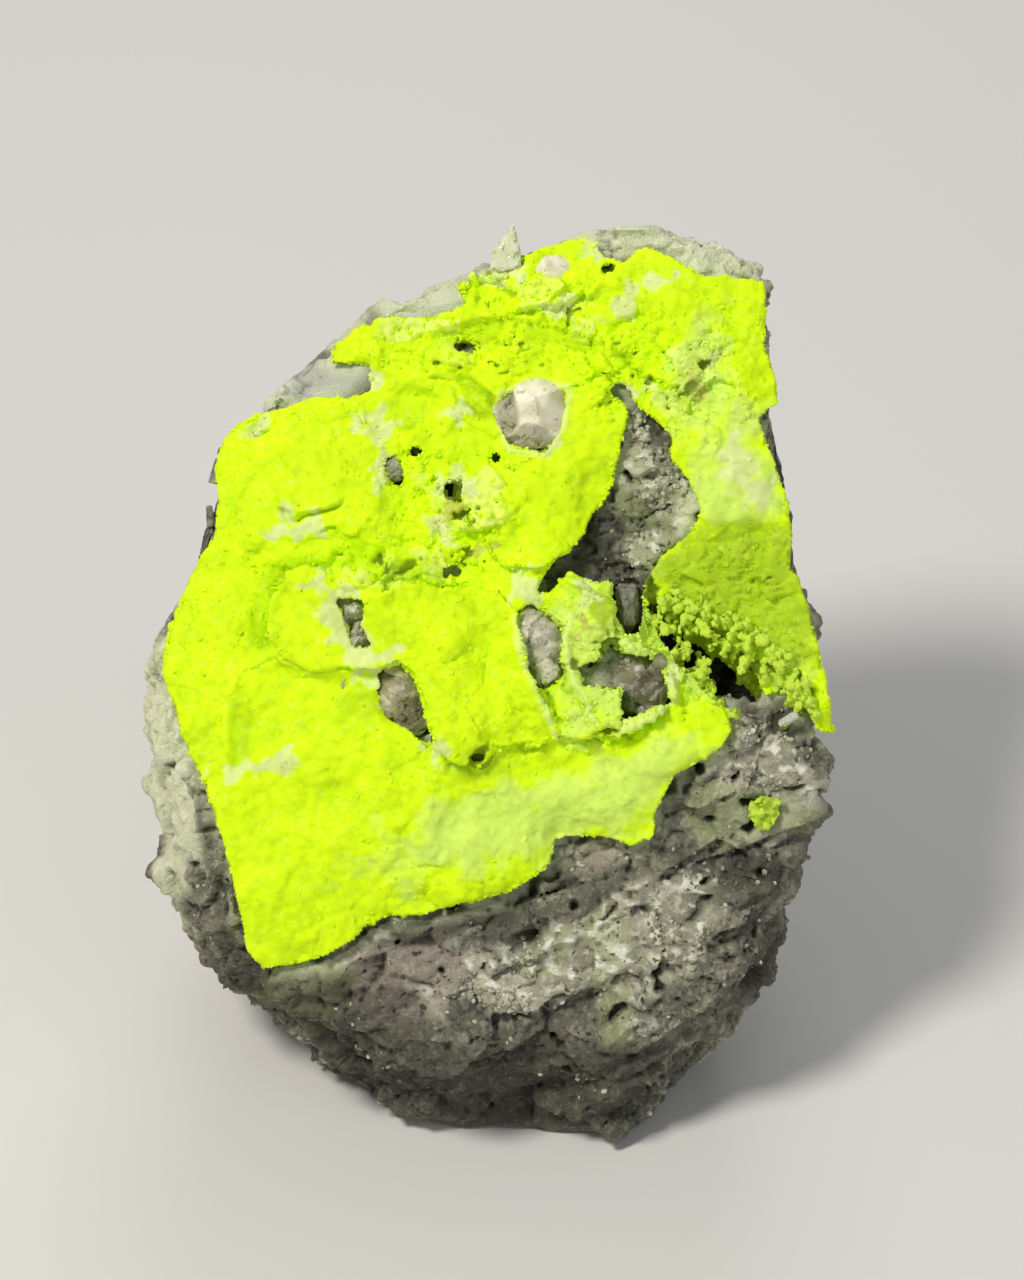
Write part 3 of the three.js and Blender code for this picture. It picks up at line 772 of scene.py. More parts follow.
# %% Crust: outlines of layers, creases, rims and torn places
LAYER_EDGES = [  # height in mm, and a line with its higher side on the right
    (1.15, [
        (-21.6, 1.5), (-22.2, 5.8), (-21.9, 8.2), (-21.2, 10.2), (-20, 11.5), (-18, 11.9),
        (-16, 11.4), (-14, 11.8), (-11.8, 11.3), (-10.7, 9.8), (-9.2, 10.5), (-7.6, 10.7),
        (-5, 9.9), (-3.6, 11.6),
    ]),
    (0.6, [(-14, 19.4), (-16, 18.2), (-17.8, 17.8), (-19.4, 17.4), (-20.6, 18.6), (-21.6, 18.2)]),
    (0.4, [(6.9, -5.1), (5, -5.5), (1.4, -5.5), (0.2, -5.4)]),
    (0.4, [(-1.9, -6.2), (-2.4, -7.6), (-3.5, -7.4), (-5.4, -6.2)]),
    (0.6, [(18.4, -0.8), (16.6, -2.6), (13.2, -4.4), (9.8, -4.9), (6.6, -4.7)]),
    (0.7, [(0.8, 27.2), (-1, 28), (-3, 29.2), (-4.2, 31.4)]),
    (0.7, [(-4.6, 31), (-2.2, 30.4), (0, 28.8), (1, 27.4)]),
    (0.6, [(-9.2, 25.8), (-7.8, 26), (-6.4, 27.4), (-6, 29.6)]),
    (0.6, [(21.2, 27.4), (19, 30.4), (16.6, 31.2), (14.2, 32.6), (12.6, 34.6), (13, 36.6)]),
    (0.7, [(2.8, 7.2), (3.1, 4.9), (3.9, 2), (5, -0.4), (6.1, -2.7), (6.9, -4.9)]),
    (0.6, [(9.9, -3), (9.5, -1.3), (8.4, 0), (7.7, 1.8), (7.2, 4.5), (7.7, 7.2)]),
    (0.5, [(11.8, 22.6), (12.6, 18.4), (10.6, 14.8), (7, 12)]),
    (0.6, [(14, 40.6), (10, 40), (7.6, 38.6), (4, 38.4), (0, 37.4)]),
]
SOFTEN = [  # steps of the solid to smooth away
    (-10.4, 21, 2.2, 5, 0), (-22, 14.8, 6, 1.8, 0), (-17.4, 1.4, 5.4, 2.2, -0.4),
    (-12.6, 15.4, 3, 1.8, 0), (-0.8, 20.6, 1.6, 2.6, -0.7), (0, 33.6, 14, 3, 0),
    (-1.2, -4, 1.6, 3, 0), (26, 17.2, 5, 1.6, 0), (1, -6.8, 6, 2.2, 0.12),
]
FILLED = [  # seams that growth has closed
    [(-24.6, 1.6), (-20.5, 3.3), (-16.6, 1.9), (-11, 2.3)], [(21.4, 17.5), (25, 17), (29.6, 16.9)],
    [(-1.9, -2.4), (-1.2, -3.6), (-1.1, -5.2)],
]
CREASES = [
    [(-3.9, 11.8), (-2, 13.6)],
    [(0.5, 41.2), (2.2, 39.7)],
    [(10.6, -4.5), (12.2, -4)],
]
RIMS = [
    [(2.6, 7.2), (2.9, 4.9), (3.7, 2), (4.8, -0.4), (5.9, -2.7), (6.7, -4.9)],
    [(7.9, 7.2), (7.5, 4.5), (8, 1.8), (8.7, 0), (9.8, -1.3), (10.2, -3)],
    [(13.4, 4.6), (16.4, 3.8), (17.9, 2), (18.4, -0.8), (16.2, -2.6), (12.6, -4)],
    [(1, 26.6), (1.2, 29.6), (4, 30.8), (8, 30.2), (7.3, 26.2), (5.4, 23.6), (2, 24.1), (1, 26.6)],
]
SUNK = [  # soft dents
    (-1.4, 30, 2.8, 0.9, -0.75), (-7.4, 28.4, 2.4, 1.6, -0.4), (-2, 36, 4, 0.8, 0.2),
    (7, 35.4, 4, 0.7, -0.25), (-24.8, -4, 1.2, 4, 0), (-23.2, 26.2, 1, 0.7, 0.3),
]
# Holes with dark insides of painted shade; the olive ones are shallower and get olive painted shade.
DARK_HOLES = [
    (16.2, 9.6, 0.9, 0.7, -0.6), (18.4, 8.3, 1.4, 0.7, -0.6), (15.9, 11, 0.4, 0.7, 0),
    (20.8, 6.9, 1.1, 0.7, -0.5), (23.2, 5.2, 1.2, 0.7, -0.6), (26.4, 2.6, 1.2, 0.7, -0.7),
    (12, 4.3, 0.8, 0.7, 0), (11.4, -4.2, 1, 0.3, 0.2), (28.6, 2.4, 0.8, 0.6, 0),
    (30.6, 0.8, 0.9, 0.7, 0), (24.8, 5.6, 0.7, 0.5, 0), (21.8, 7.4, 0.6, 0.4, 0),
    (31.8, -0.8, 0.5, 0.8, 0), (21.6, 32.6, 0.7, 0.5, 0), (-3.8, 20.1, 1.1, 0.8, 0.4),
    (-2.6, 17.6, 0.9, 0.5, 0.2), (-9.7, -2.6, 0.5, 0.3, 0.2),
]
OLIVE_HOLES = [
    (-1, -6.5, 1.5, 0.6, 0.8), (20, 30, 1, 0.7, 0.8), (8.4, 2.6, 0.6, 0.6, 0),
    (-8.2, 12.4, 1.2, 0.5, 0.5),
]
TORN = [
    (2, 35, 14, 3.4, 0), (14, 33, 6, 5, 0.6), (-4, 17, 6, 6, 0), (4, 40, 8, 3, 0),
    (21, 31, 5, 6, 0), (-12, 11.6, 5, 2, 0),
]
RAGGED = [
    (12, 8, 5, 4, 0), (16, 2, 6, 5, 0), (13, -3, 8, 3, 0.2), (22, 9, 4, 2, -0.6),
    (25, 11, 6, 5, 0.2), (30, 2, 3, 5, 0),
]
CALM = [
    (2, -12.5, 13, 4.6, 0.22), (14, -9.4, 8, 4, 0.5), (25, 21.5, 4, 5, 0), (-20, 20, 7, 7, 0),
    (-20, -12, 9, 14, 0.25), (-15.5, 5, 5.5, 5.5, 0), (8, 21, 3.6, 7, -0.2),
]

# %% [markdown]
# The skin is made as the rock's was. Where two layers of the solid meet with a step that isn't
# wanted, it is smoothed away.

# %% Crust: even skin
crust = copy_of("autunite_crust", "crust_sugary")
even_skin(crust, 0.22, turns=6)
print("crust skin:", len(crust.data.vertices), "points")
soften = crust.vertex_groups.new(name="soften")
face = on_face(points_of(crust))
edge_weight = spots(face, SOFTEN, 0 * face[:, 0])
edge_weight *= normals_of(crust) @ OUTWARD > -0.3
soften.add(np.nonzero(edge_weight > 0.3)[0].tolist(), 1.0, "REPLACE")
modify(crust, "SMOOTH", factor=0.5, iterations=120, vertex_group="soften")
crust.vertex_groups.clear()
under = fade(-(normals_of(crust) @ OUTWARD), 0, 0.4)
push(crust, -0.5 * under, OUTWARD)  # its underside sinks into the rock, so relief can't reach it
thin_spare(crust, under)
start = points_of(crust)
face = on_face(start)
outer = fade(normals_of(crust) @ OUTWARD, -0.1, 0.35)
crust_wobble = soft(start, 3)
print("points:", len(start), "outer share:", round(float(outer.mean()), 2))

# %% [markdown]
# The crust's relief is rounder than the rock's. Layers end in steps, the torn parts are crumbs and
# sugar with pinholes, and the calm parts are nearly smooth. Relief stays out of the quartz grains,
# and never goes deeper than the crust is thick.

# %% Crust: relief
rim_wobble = 0.5 * soft(start, 1.7, 7) + 0.35 * soft(start, 0.8, 8)
layer_edge = np.zeros(len(start))
under_edge = np.zeros(len(start))
trough = np.zeros(len(start))
# Each layer edge steps up on its right; under_edge and trough mark its foot, which gets painted
# shade.
for height, line in LAYER_EDGES:
    distance, weight = beside(face, line)
    distance = distance + rim_wobble
    above = fade(distance, -0.15, 0.15) * np.exp(-np.clip(distance, 0, 9) / 2)
    layer_edge = np.maximum(layer_edge, height * above * weight)
    under_edge = np.maximum(under_edge, np.exp(-((distance + 0.45) / 0.3) ** 2) * weight)
    foot = fade(-distance, 0, 0.4) * fade(distance, -2.6, -1.2)
    trough = np.maximum(trough, foot * weight * (height > 0.8))
torn = spots(face, TORN, crust_wobble, 0.4)
torn = np.maximum(torn, 0.65 * spots(face, RAGGED, crust_wobble, 0.4))
calm = spots(face, CALM, crust_wobble, 0.3) * (1 - 0.6 * torn)
creases = np.exp(-((line_distance(face, CREASES) + 0.4 * rim_wobble) / 0.4) ** 2)
rims = np.exp(-((line_distance(face, RIMS) + 0.3 * rim_wobble) / 0.38) ** 2)

shaken = start + 0.5 * MM * crust_wobble[:, None]
ledges, ledge_tone = broken(shaken, 4.2, 0.45, 0.12, 17)
crumbs, _ = broken(start, 1.5, 0.6, 0.2, 5)
sugar, sugar_tone = broken(start, 0.62, 0.6, 0.15, 9)
lumps = cells(start, 3.6, 2)
sunk = spots(face, SUNK, crust_wobble, 0.2, 0.4)
pinholes = fade(soft(start, 0.9, 5) + 0.6 * soft(start, 2.8, 9), 0.58, 0.7) * fade(torn, 0.3, 0.8)
tears = fade(ridged(start, 3.2, 4), 1.25, 1.5) * torn
hole_wobble = soft(start, 1.1, 12) + 0.6 * soft(start, 0.5, 13)
dark_holes = spots(face, DARK_HOLES, hole_wobble, 0.8, 0.25)
olive_holes = spots(face, OLIVE_HOLES, hole_wobble, 0.7, 0.3)
filled = np.exp(-(line_distance(face, FILLED) / 0.8) ** 2)

relief = 0.6 * cloudy(start, 8) + 0.25 * cloudy(start, 3, 8)
relief += 0.6 * (lumps - 0.4) * (1 - 0.6 * calm)
relief += (0.3 + 0.8 * torn) * (1 - 0.7 * calm) * ledges
relief += (0.2 + 0.35 * torn) * 0.8 * crumbs + (0.32 + 0.15 * torn - 0.2 * calm) * sugar
relief += layer_edge - 0.6 * under_edge - 0.2 * trough + 0.35 * rims + 0.45 * filled
pitted = 0.8 * creases + 0.6 * pinholes + 0.4 * tears
relief -= pitted + 2.4 * dark_holes + 0.5 * olive_holes + 0.8 * sunk
wall = fade(1 - np.abs(normals_of(crust) @ OUTWARD), 0.25, 0.7)
ragged = 0.45 * cloudy(start, 2, 21) + 0.7 * crumbs + 0.7 * sugar - 0.3
relief = relief * (0.25 + 0.75 * outer) * (1 - wall) + ragged * wall
grain_nodes = [name for name in frame["nodes"] if name.startswith("quartz_grain")]
grain_tree = tree_of(*(frame["nodes"][name] for name in grain_nodes))
near_grain = 1 - fade(distance_to(grain_tree, start), 0.3, 1.4)
relief -= np.maximum(relief, 0) * near_grain
deepest = np.minimum(0.4 - thickness(tree_of(crust), start), 0)
relief = np.where(outer > 0.2, np.maximum(relief, deepest), relief)
relief *= 1 - fade(-(normals_of(crust) @ OUTWARD), 0.2, 0.5)
push(crust, relief)

# %% Crust: zones of colour
CREAM = [
    (-24.6, -8.2, 3.4, 0.7, 0.06), (-20.6, -7.2, 1.4, 1.6, -0.2), (-18.6, 16.4, 3, 0.9, 0.1),
    (-20.6, 17.6, 0.8, 1, 0), (-12, 27.4, 2, 1, 0.4), (-10.6, 25.8, 1.2, 1.4, 0),
    (-3.4, 27.6, 1.1, 1, 0.4), (-14.4, 9.6, 1.6, 1, 0), (-13.8, 5.4, 5.8, 1.6, -1.05),
    (-9.8, 3.4, 1.6, 0.8, 0), (-5.2, -6.2, 1, 1.2, 0), (3.8, 10.2, 1.2, 2, 0), (1, 42, 2.8, 1.2, 0),
    (13.6, 38.6, 1, 2, 0.4), (-3.6, 20.4, 1.8, 1.2, 0), (6.6, 38, 1.6, 1.2, 0),
    (-12, 31.4, 1.4, 0.8, 0), (14.2, 30, 1.4, 0.9, 0), (22, 33, 1, 0.7, 0), (-4.6, 16.4, 1, 1.6, 0),
    (24.6, 22, 1.6, 2.6, 0.3), (27, 20, 1.2, 1.6, 0), (-23.2, 26.2, 1.2, 0.8, 0.3),
    (9.6, 9.8, 1.3, 1.6, 0), (-10.6, 22, 0.9, 2, 0), (6, 26, 0.8, 2, -0.4), (18, 1.8, 0.5, 2, 0.1),
    (12, 43.6, 2.4, 0.8, 0), (16.6, 41, 1.4, 0.8, 0.4),
]
PALE = [
    (3, -13.4, 13, 3.8, 0.24), (14, -9.6, 8, 3.2, 0.5), (25, 21.5, 4.4, 5.4, 0),
    (12, 3.4, 5.5, 8.4, 0), (21, 31, 3, 6, 0), (21, 2, 4, 3, -0.7), (30, 0, 2, 4, 0.3),
]
# Olive painted shade where the lower right of the crust faces down and lies in shade.
OLIVE = [
    (24, 11, 7.4, 5.6, 0.2), (29, 6, 4, 5, -0.4), (20, 7.6, 4, 1.8, -0.6), (11.4, 8.4, 1.6, 1.6, 0),
]
# Painted shade in troughs and hollows: under the lobe, in the wedges and along grooves.
DEEP = [
    (-1.4, 29.2, 2.8, 1, -0.7), (-8.4, 27.8, 1.6, 1.2, 0), (-13, -1.4, 3, 1.8, 0.2),
    (-10, 12.6, 4, 1, -0.2), (-2, 36, 4, 1, 0.2), (7, 35.2, 4, 0.8, -0.25), (-24.6, -4, 1.2, 4, 0),
    (-1, -7.6, 3.4, 1.2, 0.2),
]
RUSTY = [
    (-23, 26.2, 0.8, 0.5, 0.3), (20.4, 30.2, 0.9, 1.6, 0.3), (-3.8, 18, 1.2, 1.4, 0),
    (22, 33.2, 1, 0.7, 0), (-1, 14, 1.2, 0.6, 0.5), (9, 6, 1, 1, 0),
]


def paint_growth(piece):
    """Paints the crust's zones on the crust, or on the crystals that stand on it."""
    place = points_of(piece)
    here = on_face(place)
    here[:, 0] += 1.3 * soft(place, 2, 31)
    here[:, 1] += 1.3 * soft(place, 2, 47)
    broad = soft(place, 3)
    fine = soft(place, 1.6, 3) + 0.6 * soft(place, 0.7, 5)
    # The olive and deep zones are painted shade; pale, cream and rusty are the crust's own tones.
    paint(
        piece,
        pale=spots(here, PALE, broad + 0.6 * fine, 0.6, 0.5),
        cream=spots(here, CREAM, fine, 0.9, 0.35),
        olive=spots(here, OLIVE, broad + 0.5 * fine, 0.3),
        rusty=spots(here, RUSTY, fine, 0.9, 0.4),
        deep=spots(here, DEEP, broad, 0.4, 0.5),
    )


paint_growth(crust)
# Painted shade: holes, pinholes and creases are darkened, as are the foot of each layer edge and the
# hollows.
openings = [pinholes * 0.8, 0.6 * creases, 0.75 * olive_holes, 2 * dark_holes]
paint(
    crust,
    groove=np.maximum(under_edge, 0.4 * trough),
    rim=rims,
    ledge=ledge_tone * (0.4 + 0.6 * torn),
    sugar=sugar_tone,
    hollow=fade(hollowness(crust, 14), 0.05, 0.4) * (1 - filled),
    pit=np.max(openings, axis=0),
)
shade(crust)
print("torn share:", round(float(torn.mean()), 2), "pinholes:", round(float(pinholes.mean()), 3))


# %% [markdown]
# Autunite is a uranium phosphate that glows yellow-green in daylight's ultraviolet, so its colour
# is brighter than paint. Most of that is a very saturated base colour, with some light scattered
# below the surface and a faint even glow, which is painted light that lifts the crust's shadows.
# Fine bumps at the size of the tablets give the sugar.

# %% Sugary autunite
def autunite(name, dusk=0.0):
    """The crust's finish. Dusk from 0 to 1 makes it more olive."""
    sugar = new_material(name)
    place = coordinates(sugar)
    patches = clouds(sugar, place, 4.5, 5.0)["Fac"]
    mottle = clouds(sugar, place, 1.2, 4.0)["Fac"]
    tablet = crystals(sugar, place, 0.4, "Red")

    colour = ramp(sugar, patches, [(0.36, "CDEE00"), (0.5, "DAFA00"), (0.62, "E0FF04")])
    light = ramp(sugar, mottle, [(0.36, "C3E200"), (0.5, "DCFA00"), (0.66, "E6FD24")])
    colour = blend(sugar, 0.28, colour, light)
    ledge = attribute(sugar, "ledge")
    colour = blend(sugar, window(sugar, ledge, 0.68, 0.9, 0.6), colour, linear("EBF48E"))
    # The olive, deep and groove tints are painted shade; pale, rusty, rim and cream are the crust's
    # own tones.
    colour = zones(
        sugar, colour, ("pale", "D2E976", 0.8), ("olive", "A6C226", 0.85), ("deep", "AFD000", 0.6),
        ("groove", "92B004", 0.65), ("rusty", "B89A6A", 0.55), ("rim", "E0EE90", 0.8),
        ("cream", "DDE3A4", 0.85),
    )
    grain = attribute(sugar, "sugar")
    grain = ramp(sugar, grain, [(0.0, "E2E5D2"), (0.5, "F6F8EE"), (1, "FFFFFF")])
    colour = blend(sugar, 0.6, colour, grain, "MULTIPLY")
    # Painted glints: the brightest tablet cells are lightened.
    colour = blend(sugar, window(sugar, tablet, 0.9, 0.97, 0.1), colour, linear("F0FF90"))
    colour = blend(sugar, dusk, colour, linear("B4C65E"))
    # Painted shade in hollows, holes and creases.
    colour = zones(sugar, colour, ("hollow", "ACCA08", 0.4), ("pit", "34380F", 0.9))

    height = calculate(sugar, "Math", "ADD", tablet, mottle)
    return surface(sugar, [
        ("Base Color", colour), ("Roughness", window(sugar, tablet, 0, 1, 0.55, 0.9)),
        ("Normal", bumps(sugar, height, 0.4, 0.15)), ("IOR", 1.58), ("Specular IOR Level", 0.2),
        ("Subsurface Weight", 0.2), ("Subsurface Radius", (0.8, 1.0, 0.1)),
        # the emission is a painted glow that lifts the crust's shadows
        ("Subsurface Scale", 0.6 * MM), ("Emission Color", linear("C4F400")),
        ("Emission Strength", 0.1),
    ])


autunite_material = autunite("Sugary autunite crust")
finish_piece(crust, autunite_material, "crust")

# %% [markdown]
# Single crystals stand out of the crust where it is torn and along its edges: thin square tablets,
# as autunite grows, a quarter to half a millimetre across. One tablet is modelled and copied, each
# copy with a lean of its own. The same step later strews broken quartz grains over the rock.

# %% Scattering
rng = np.random.default_rng(7)


def unit(vectors):
    return vectors / np.linalg.norm(vectors, axis=1, keepdims=True)


def stretched(x, y, z):
    """The shape that was just added, stretched along its axes."""
    bpy.ops.object.mode_set(mode="EDIT")
    bpy.ops.transform.resize(value=(x, y, z))
    bpy.ops.object.mode_set(mode="OBJECT")
    return bpy.context.object


def as_one_mesh(name, model, points):
    """Copies of a model as one mesh, from the points of each copy. The model itself goes."""
    size, faces = len(model.data.vertices), []
    for copy in range(len(points)):
        faces += [[size * copy + i for i in p.vertices] for p in model.data.polygons]
    piece = new_object(name, bpy.data.meshes.new(name))
    piece.data.from_pydata(points.reshape(-1, 3).tolist(), [], faces)
    bpy.data.objects.remove(model)
    return piece


def scatter(name, host, chance, model, count, sizes_mm, lean):
    """Copies of a small crystal on a host, most where the chance per point is high."""
    skin = host.data.polygons
    first = read(skin, "loop_start", (-1, 1), int).ravel()
    corners = read(host.data.loops, "vertex_index", (-1, 1), int).ravel()
    weight = read(skin, "area", (-1, 1)).ravel() * chance[corners[first]]
    picks = rng.choice(len(weight), count, p=weight / weight.sum())
    centres, normals = read(skin, "center")[picks], read(skin, "normal")[picks]
    up = unit(normals + lean * rng.normal(size=(count, 3)))
    side = unit(np.cross(up, rng.normal(size=(count, 3))))
    turned = np.stack([side, np.cross(up, side), up], axis=1)
    size = rng.uniform(*sizes_mm, (count, 1, 1)) * MM
    return as_one_mesh(name, model, centres[:, None] + size * (points_of(model) @ turned))


def each_copy(piece, count, values):
    """Spreads one value per copy over the points of all copies."""
    return np.repeat(values, len(piece.data.vertices) // count)


# %% Crust: standing tablets
TABLETS = 5000
TABLET_SIZES_MM = (0.2, 0.48)
bpy.ops.mesh.primitive_cube_add(size=1)
tablet = stretched(1, 0.9, 0.4)
unbroken = np.max([pinholes, dark_holes, olive_holes], axis=0) < 0.3
chance = (0.1 + 0.3 * torn + 1.0 * wall) * (0.1 + 0.9 * outer + 0.5 * wall) * (1 - 0.85 * calm)
chance *= (normals_of(crust) @ OUTWARD > -0.3) * unbroken
tablets = scatter("crust_tablets", crust, chance, tablet, TABLETS, TABLET_SIZES_MM, lean=0.45)
paint_growth(tablets)
paint(tablets, sugar=each_copy(tablets, TABLETS, rng.uniform(0, 1, TABLETS)))
finish_piece(tablets, autunite_material, "crust")

# %% [markdown]
# The small patch on the bare rock is the same crust, so it goes through the same steps.

# %% Patch
patch = copy_of("autunite_patch", "crust_patch")
even_skin(patch, 0.16, turns=6)
start = points_of(patch)
relief, tone = broken(start, 1.1, 0.7, 0.25, 4)
gaps = fade(soft(start, 0.8, 2), 0.05, 0.35)
push(patch, relief + 0.5 * soft(start, 2) - 0.3 - 0.5 * gaps)
# Painted shade in the gaps and dents of the patch.
sunken = fade(hollowness(patch, 10), 0.02, 0.25)
paint(patch, sugar=tone, pit=0.3 * gaps, hollow=sunken)
shade(patch)
finish_piece(patch, autunite("Sugary autunite, thin patch", 0.65), "crust")

# %% [markdown]
# ## Quartz
#
# The grains in the gaps are single lumps of quartz, clear to smoky, with a broken, slightly waxy
# surface and dark specks. They are cloudy inside, which scattered light below the surface gives.

# %% Quartz finish
QUARTZ_IOR = 1.544


def quartz(name, pale, dark, speck_share, roughness=0.35):
    """Cloudy quartz between two colours, with broken faces, pale flaws and dark specks."""
    glassy = new_material(name)
    place = coordinates(glassy)
    cloud = clouds(glassy, place, 2.4, 4.0)["Fac"]
    fleck = clouds(glassy, place, 0.6, 3.0)["Fac"]
    flaw = crystals(glassy, place, 0.5, "Red")
    colour = ramp(glassy, cloud, [(0.38, dark), (0.6, pale)])
    shard = attribute(glassy, "shard")
    shard = ramp(glassy, shard, [(0.3, "A3A096"), (0.65, "E9E7DD"), (1, "FFFFFF")])
    colour = blend(glassy, 0.8, colour, shard, "MULTIPLY")
    colour = blend(glassy, window(glassy, flaw, 0.8, 1, 0.35), colour, linear("EDEBE6"))
    speck = window(glassy, fleck, 0.6, 0.66, speck_share)
    colour = blend(glassy, speck, colour, linear("26241F"))
    # Painted shade on the grains' shaded sides and in their hollows.
    colour = zones(glassy, colour, ("shadow", "6B6750", 0.55), ("hollow", "33322A", 0.55))
    return surface(glassy, [
        ("Base Color", colour), ("Roughness", roughness), ("IOR", QUARTZ_IOR),
        ("Normal", bumps(glassy, flaw, 0.35, 0.15)), ("Subsurface Weight", 0.3),
        ("Subsurface Radius", (1.0, 0.95, 0.9)), ("Subsurface Scale", 0.8 * MM),
    ])


rosy = quartz("Cloudy rosy quartz", "FFFAE2", "E4DCBC", 0.4, 0.55)
grey = quartz("Cloudy grey quartz", "EAE7D3", "B0AC94", 0.6)
brown = quartz("Brownish glassy quartz", "E6E0B6", "AAA276", 0.4, 0.45)
smoky = quartz("Smoky quartz", "BCB795", "7C785A", 0.8, 0.45)

# %% Quartz grains
QUARTZ = {  # finish, slot, swelling in mm, how rugged, turns of smoothing
    "quartz_grain_upper": (rosy, "quartz", 0.9, 0.12, 110),
    "quartz_grain_middle": (grey, "quartz", 0.8, 0.9, 4),
    "quartz_grain_lower": (smoky, "smoky_quartz", 0.8, 0.9, 4),
    "quartz_grain_left": (brown, "quartz", 0.5, 0.6, 12),
    "quartz_grain_top": (rosy, "quartz", 0.8, 0.3, 4),
}
GRAIN_SHADOWS = [
    (3.6, 25, 2.4, 1.3, 0.1), (2, 27.6, 0.9, 2.4, 0), (-7.4, -3, 1.5, 2.4, 0.6),
    (16.2, -0.6, 2, 2.4, 0), (5.2, 8.8, 1.6, 1.6, 0), (4.2, 1.2, 1, 1.2, 0), (11, 0.6, 1.4, 0.8, 0),
]
for number, (node, (finish, slot, swell, rugged, turns)) in enumerate(QUARTZ.items()):
    grain = copy_of(node, node + "_lump")
    even_skin(grain, 0.14, turns)
    start = points_of(grain)
    faces, tone = broken(start, 2.8, 0.6, 0.1, 40 + number)
    nicks, nick_tone = broken(start, 1, 0.8, 0.15, 60 + number)
    shadow = spots(on_face(start), GRAIN_SHADOWS, soft(start, 1.5), 0.4, 0.4)
    chipped = faces + 0.12 * nicks + 0.25 * cloudy(start, 1.3, number)
    push(grain, swell + rugged * chipped + 0.7 * shadow * nicks - 0.5 * shadow)
    # rosy grains are worn: their chips hardly show, while the others keep flat chips
    chip_share, ratio, sharp_from = (0.65, 0.25, 20) if finish is rosy else (1, 0.12, 14)
    chip_tone = (0.65 * tone + 0.35 * nick_tone) * (1 - 0.3 * shadow)
    # Painted shade in the grain's hollows.
    sunken = fade(hollowness(grain, 14), 0.03, 0.22)
    paint(grain, shard=1 - chip_share * (1 - chip_tone), shadow=shadow, hollow=sunken)
    modify(grain, "DECIMATE", ratio=ratio)
    shade(grain, sharp_from)
    finish_piece(grain, finish, slot)

# %% [markdown]
# Sugary grains of quartz are strewn over the bare rock, most of them in its pale bands.

# %% Rock: strewn quartz grains
SPARKS = 2600
SPARK_SIZES_MM = (0.3, 0.9)
bpy.ops.mesh.primitive_ico_sphere_add(subdivisions=1, radius=0.5)
spark = stretched(1, 0.75, 0.6)
bare = (covered < 0.3) * (rock_start[:, 2] > 2 * MM) * (in_pocket < 0.2) * (1 - bloom)
chance = bare * (0.05 + 2 * spots(rock_face, PALE_ZONES, rock_wobble, 0.7))
chance = chance * fade(rock_wobble, -0.1, 0.5)
sparks = scatter("rock_grains", rock, chance, spark, SPARKS, SPARK_SIZES_MM, lean=0.8)
paint(sparks, shard=each_copy(sparks, SPARKS, rng.uniform(0, 1, SPARKS) ** 0.7))
finish_piece(sparks, quartz("Sugary quartz grains", "D6D3BD", "9B9882", 0.25, 0.5), "rock")

# %% [markdown]
# The prisms are partly clear, so some of the light goes through them. The tint stands for what they
# absorb, and it is darker in the smoky one. The blade is milky and lets little light through.

# %% Clear quartz
def clear_quartz(name, tint, veil_share):
    """See-through quartz with a cloudy veil inside."""
    crystal = new_material(name)
    place = coordinates(crystal)
    veil = clouds(crystal, place, 0.9, 4.0)["Fac"]
    growth = clouds(crystal, place, 0.35, 2.0)["Fac"]
    colour = ramp(crystal, veil, [(0.3, tint), (0.9, "F2F3EA")])
    return surface(crystal, [
        ("Base Color", colour), ("Roughness", 0.12), ("IOR", QUARTZ_IOR),
        ("Normal", bumps(crystal, growth, 0.3, 0.1)), ("Transmission Weight", 1 - veil_share),
        ("Subsurface Weight", 0.3), ("Subsurface Scale", 0.6 * MM),
    ])


for node, finish, slot in (
    ("smoky_prism", clear_quartz("Smoky clear quartz", "8A8068", 0.55), "smoky_quartz"),
    ("white_prism", clear_quartz("Clear pale quartz", "F0F2E4", 0.6), "quartz"),
    ("quartz_blade", clear_quartz("Milky pale quartz", "DEE4B0", 0.9), "quartz"),
):
    crystal = copy_of(node, node + "_crystal")
    even_skin(crystal, 0.07)
    steps, _ = broken(points_of(crystal), 0.8, 0.35, 0.1, 80)
    push(crystal, steps)
    modify(crystal, "DECIMATE", ratio=0.5)
    shade(crystal, 25)
    finish_piece(crystal, finish, slot)

# %% [markdown]
# ## Pocket
#
# A dark pocket opens at the right. Its lips carry knobs of fused crystals, like tiny corals, that
# hang into the opening. Each knob is a short chain of balls, thinner towards its tip. The chains
# are joined with the lining's own solid and remeshed, which fuses them.

# %% Druse
UPPER_LIP = [
    (17, 9.2), (18.6, 8.2), (20, 6.9), (22.6, 5.7), (25, 4.5), (27, 2.6), (28.4, 1.2), (30, 0.6),
    (31.2, -0.6), (32.4, -2.4),
]
FRINGE = [(19.4, 9.4), (22.6, 7.2), (25, 6.2), (27.6, 4.6), (29.6, 2.6), (31, 0.6), (32.2, -1.6)]
LOWER_LIP = [
    (23.8, -3.4), (23.4, -1.7), (21.4, 0), (21.2, 2.4), (19.4, 4), (18.4, 5.8), (16.6, 7.4),
]


def along(line, share):
    """A place part of the way along a bent line."""
    spans = [math.dist(a, b) for a, b in zip(line, line[1:])]
    left = share * sum(spans)
    for (a, b), span in zip(zip(line, line[1:]), spans):
        if left <= span:
            break
        left -= span
    t = min(left / span, 1)
    return a[0] + t * (b[0] - a[0]), a[1] + t * (b[1] - a[1])


TAPER = 0.07  # what each ball of a knob loses of the first one's radius
BEND_MM = 0.09  # how much the step from ball to ball changes
STALK_MM = 0.26  # radius
ball_centres, ball_radii = [], []


def knob(place, step, radius, count):
    """A chain of balls that starts at a place on the face and thins towards its tip."""
    for number in range(count):
        ball_centres.append(from_face(*place))
        ball_radii.append(radius * (1 - TAPER * number) * MM)
        place = place + step
        step = step + rng.normal(0, BEND_MM, 3)


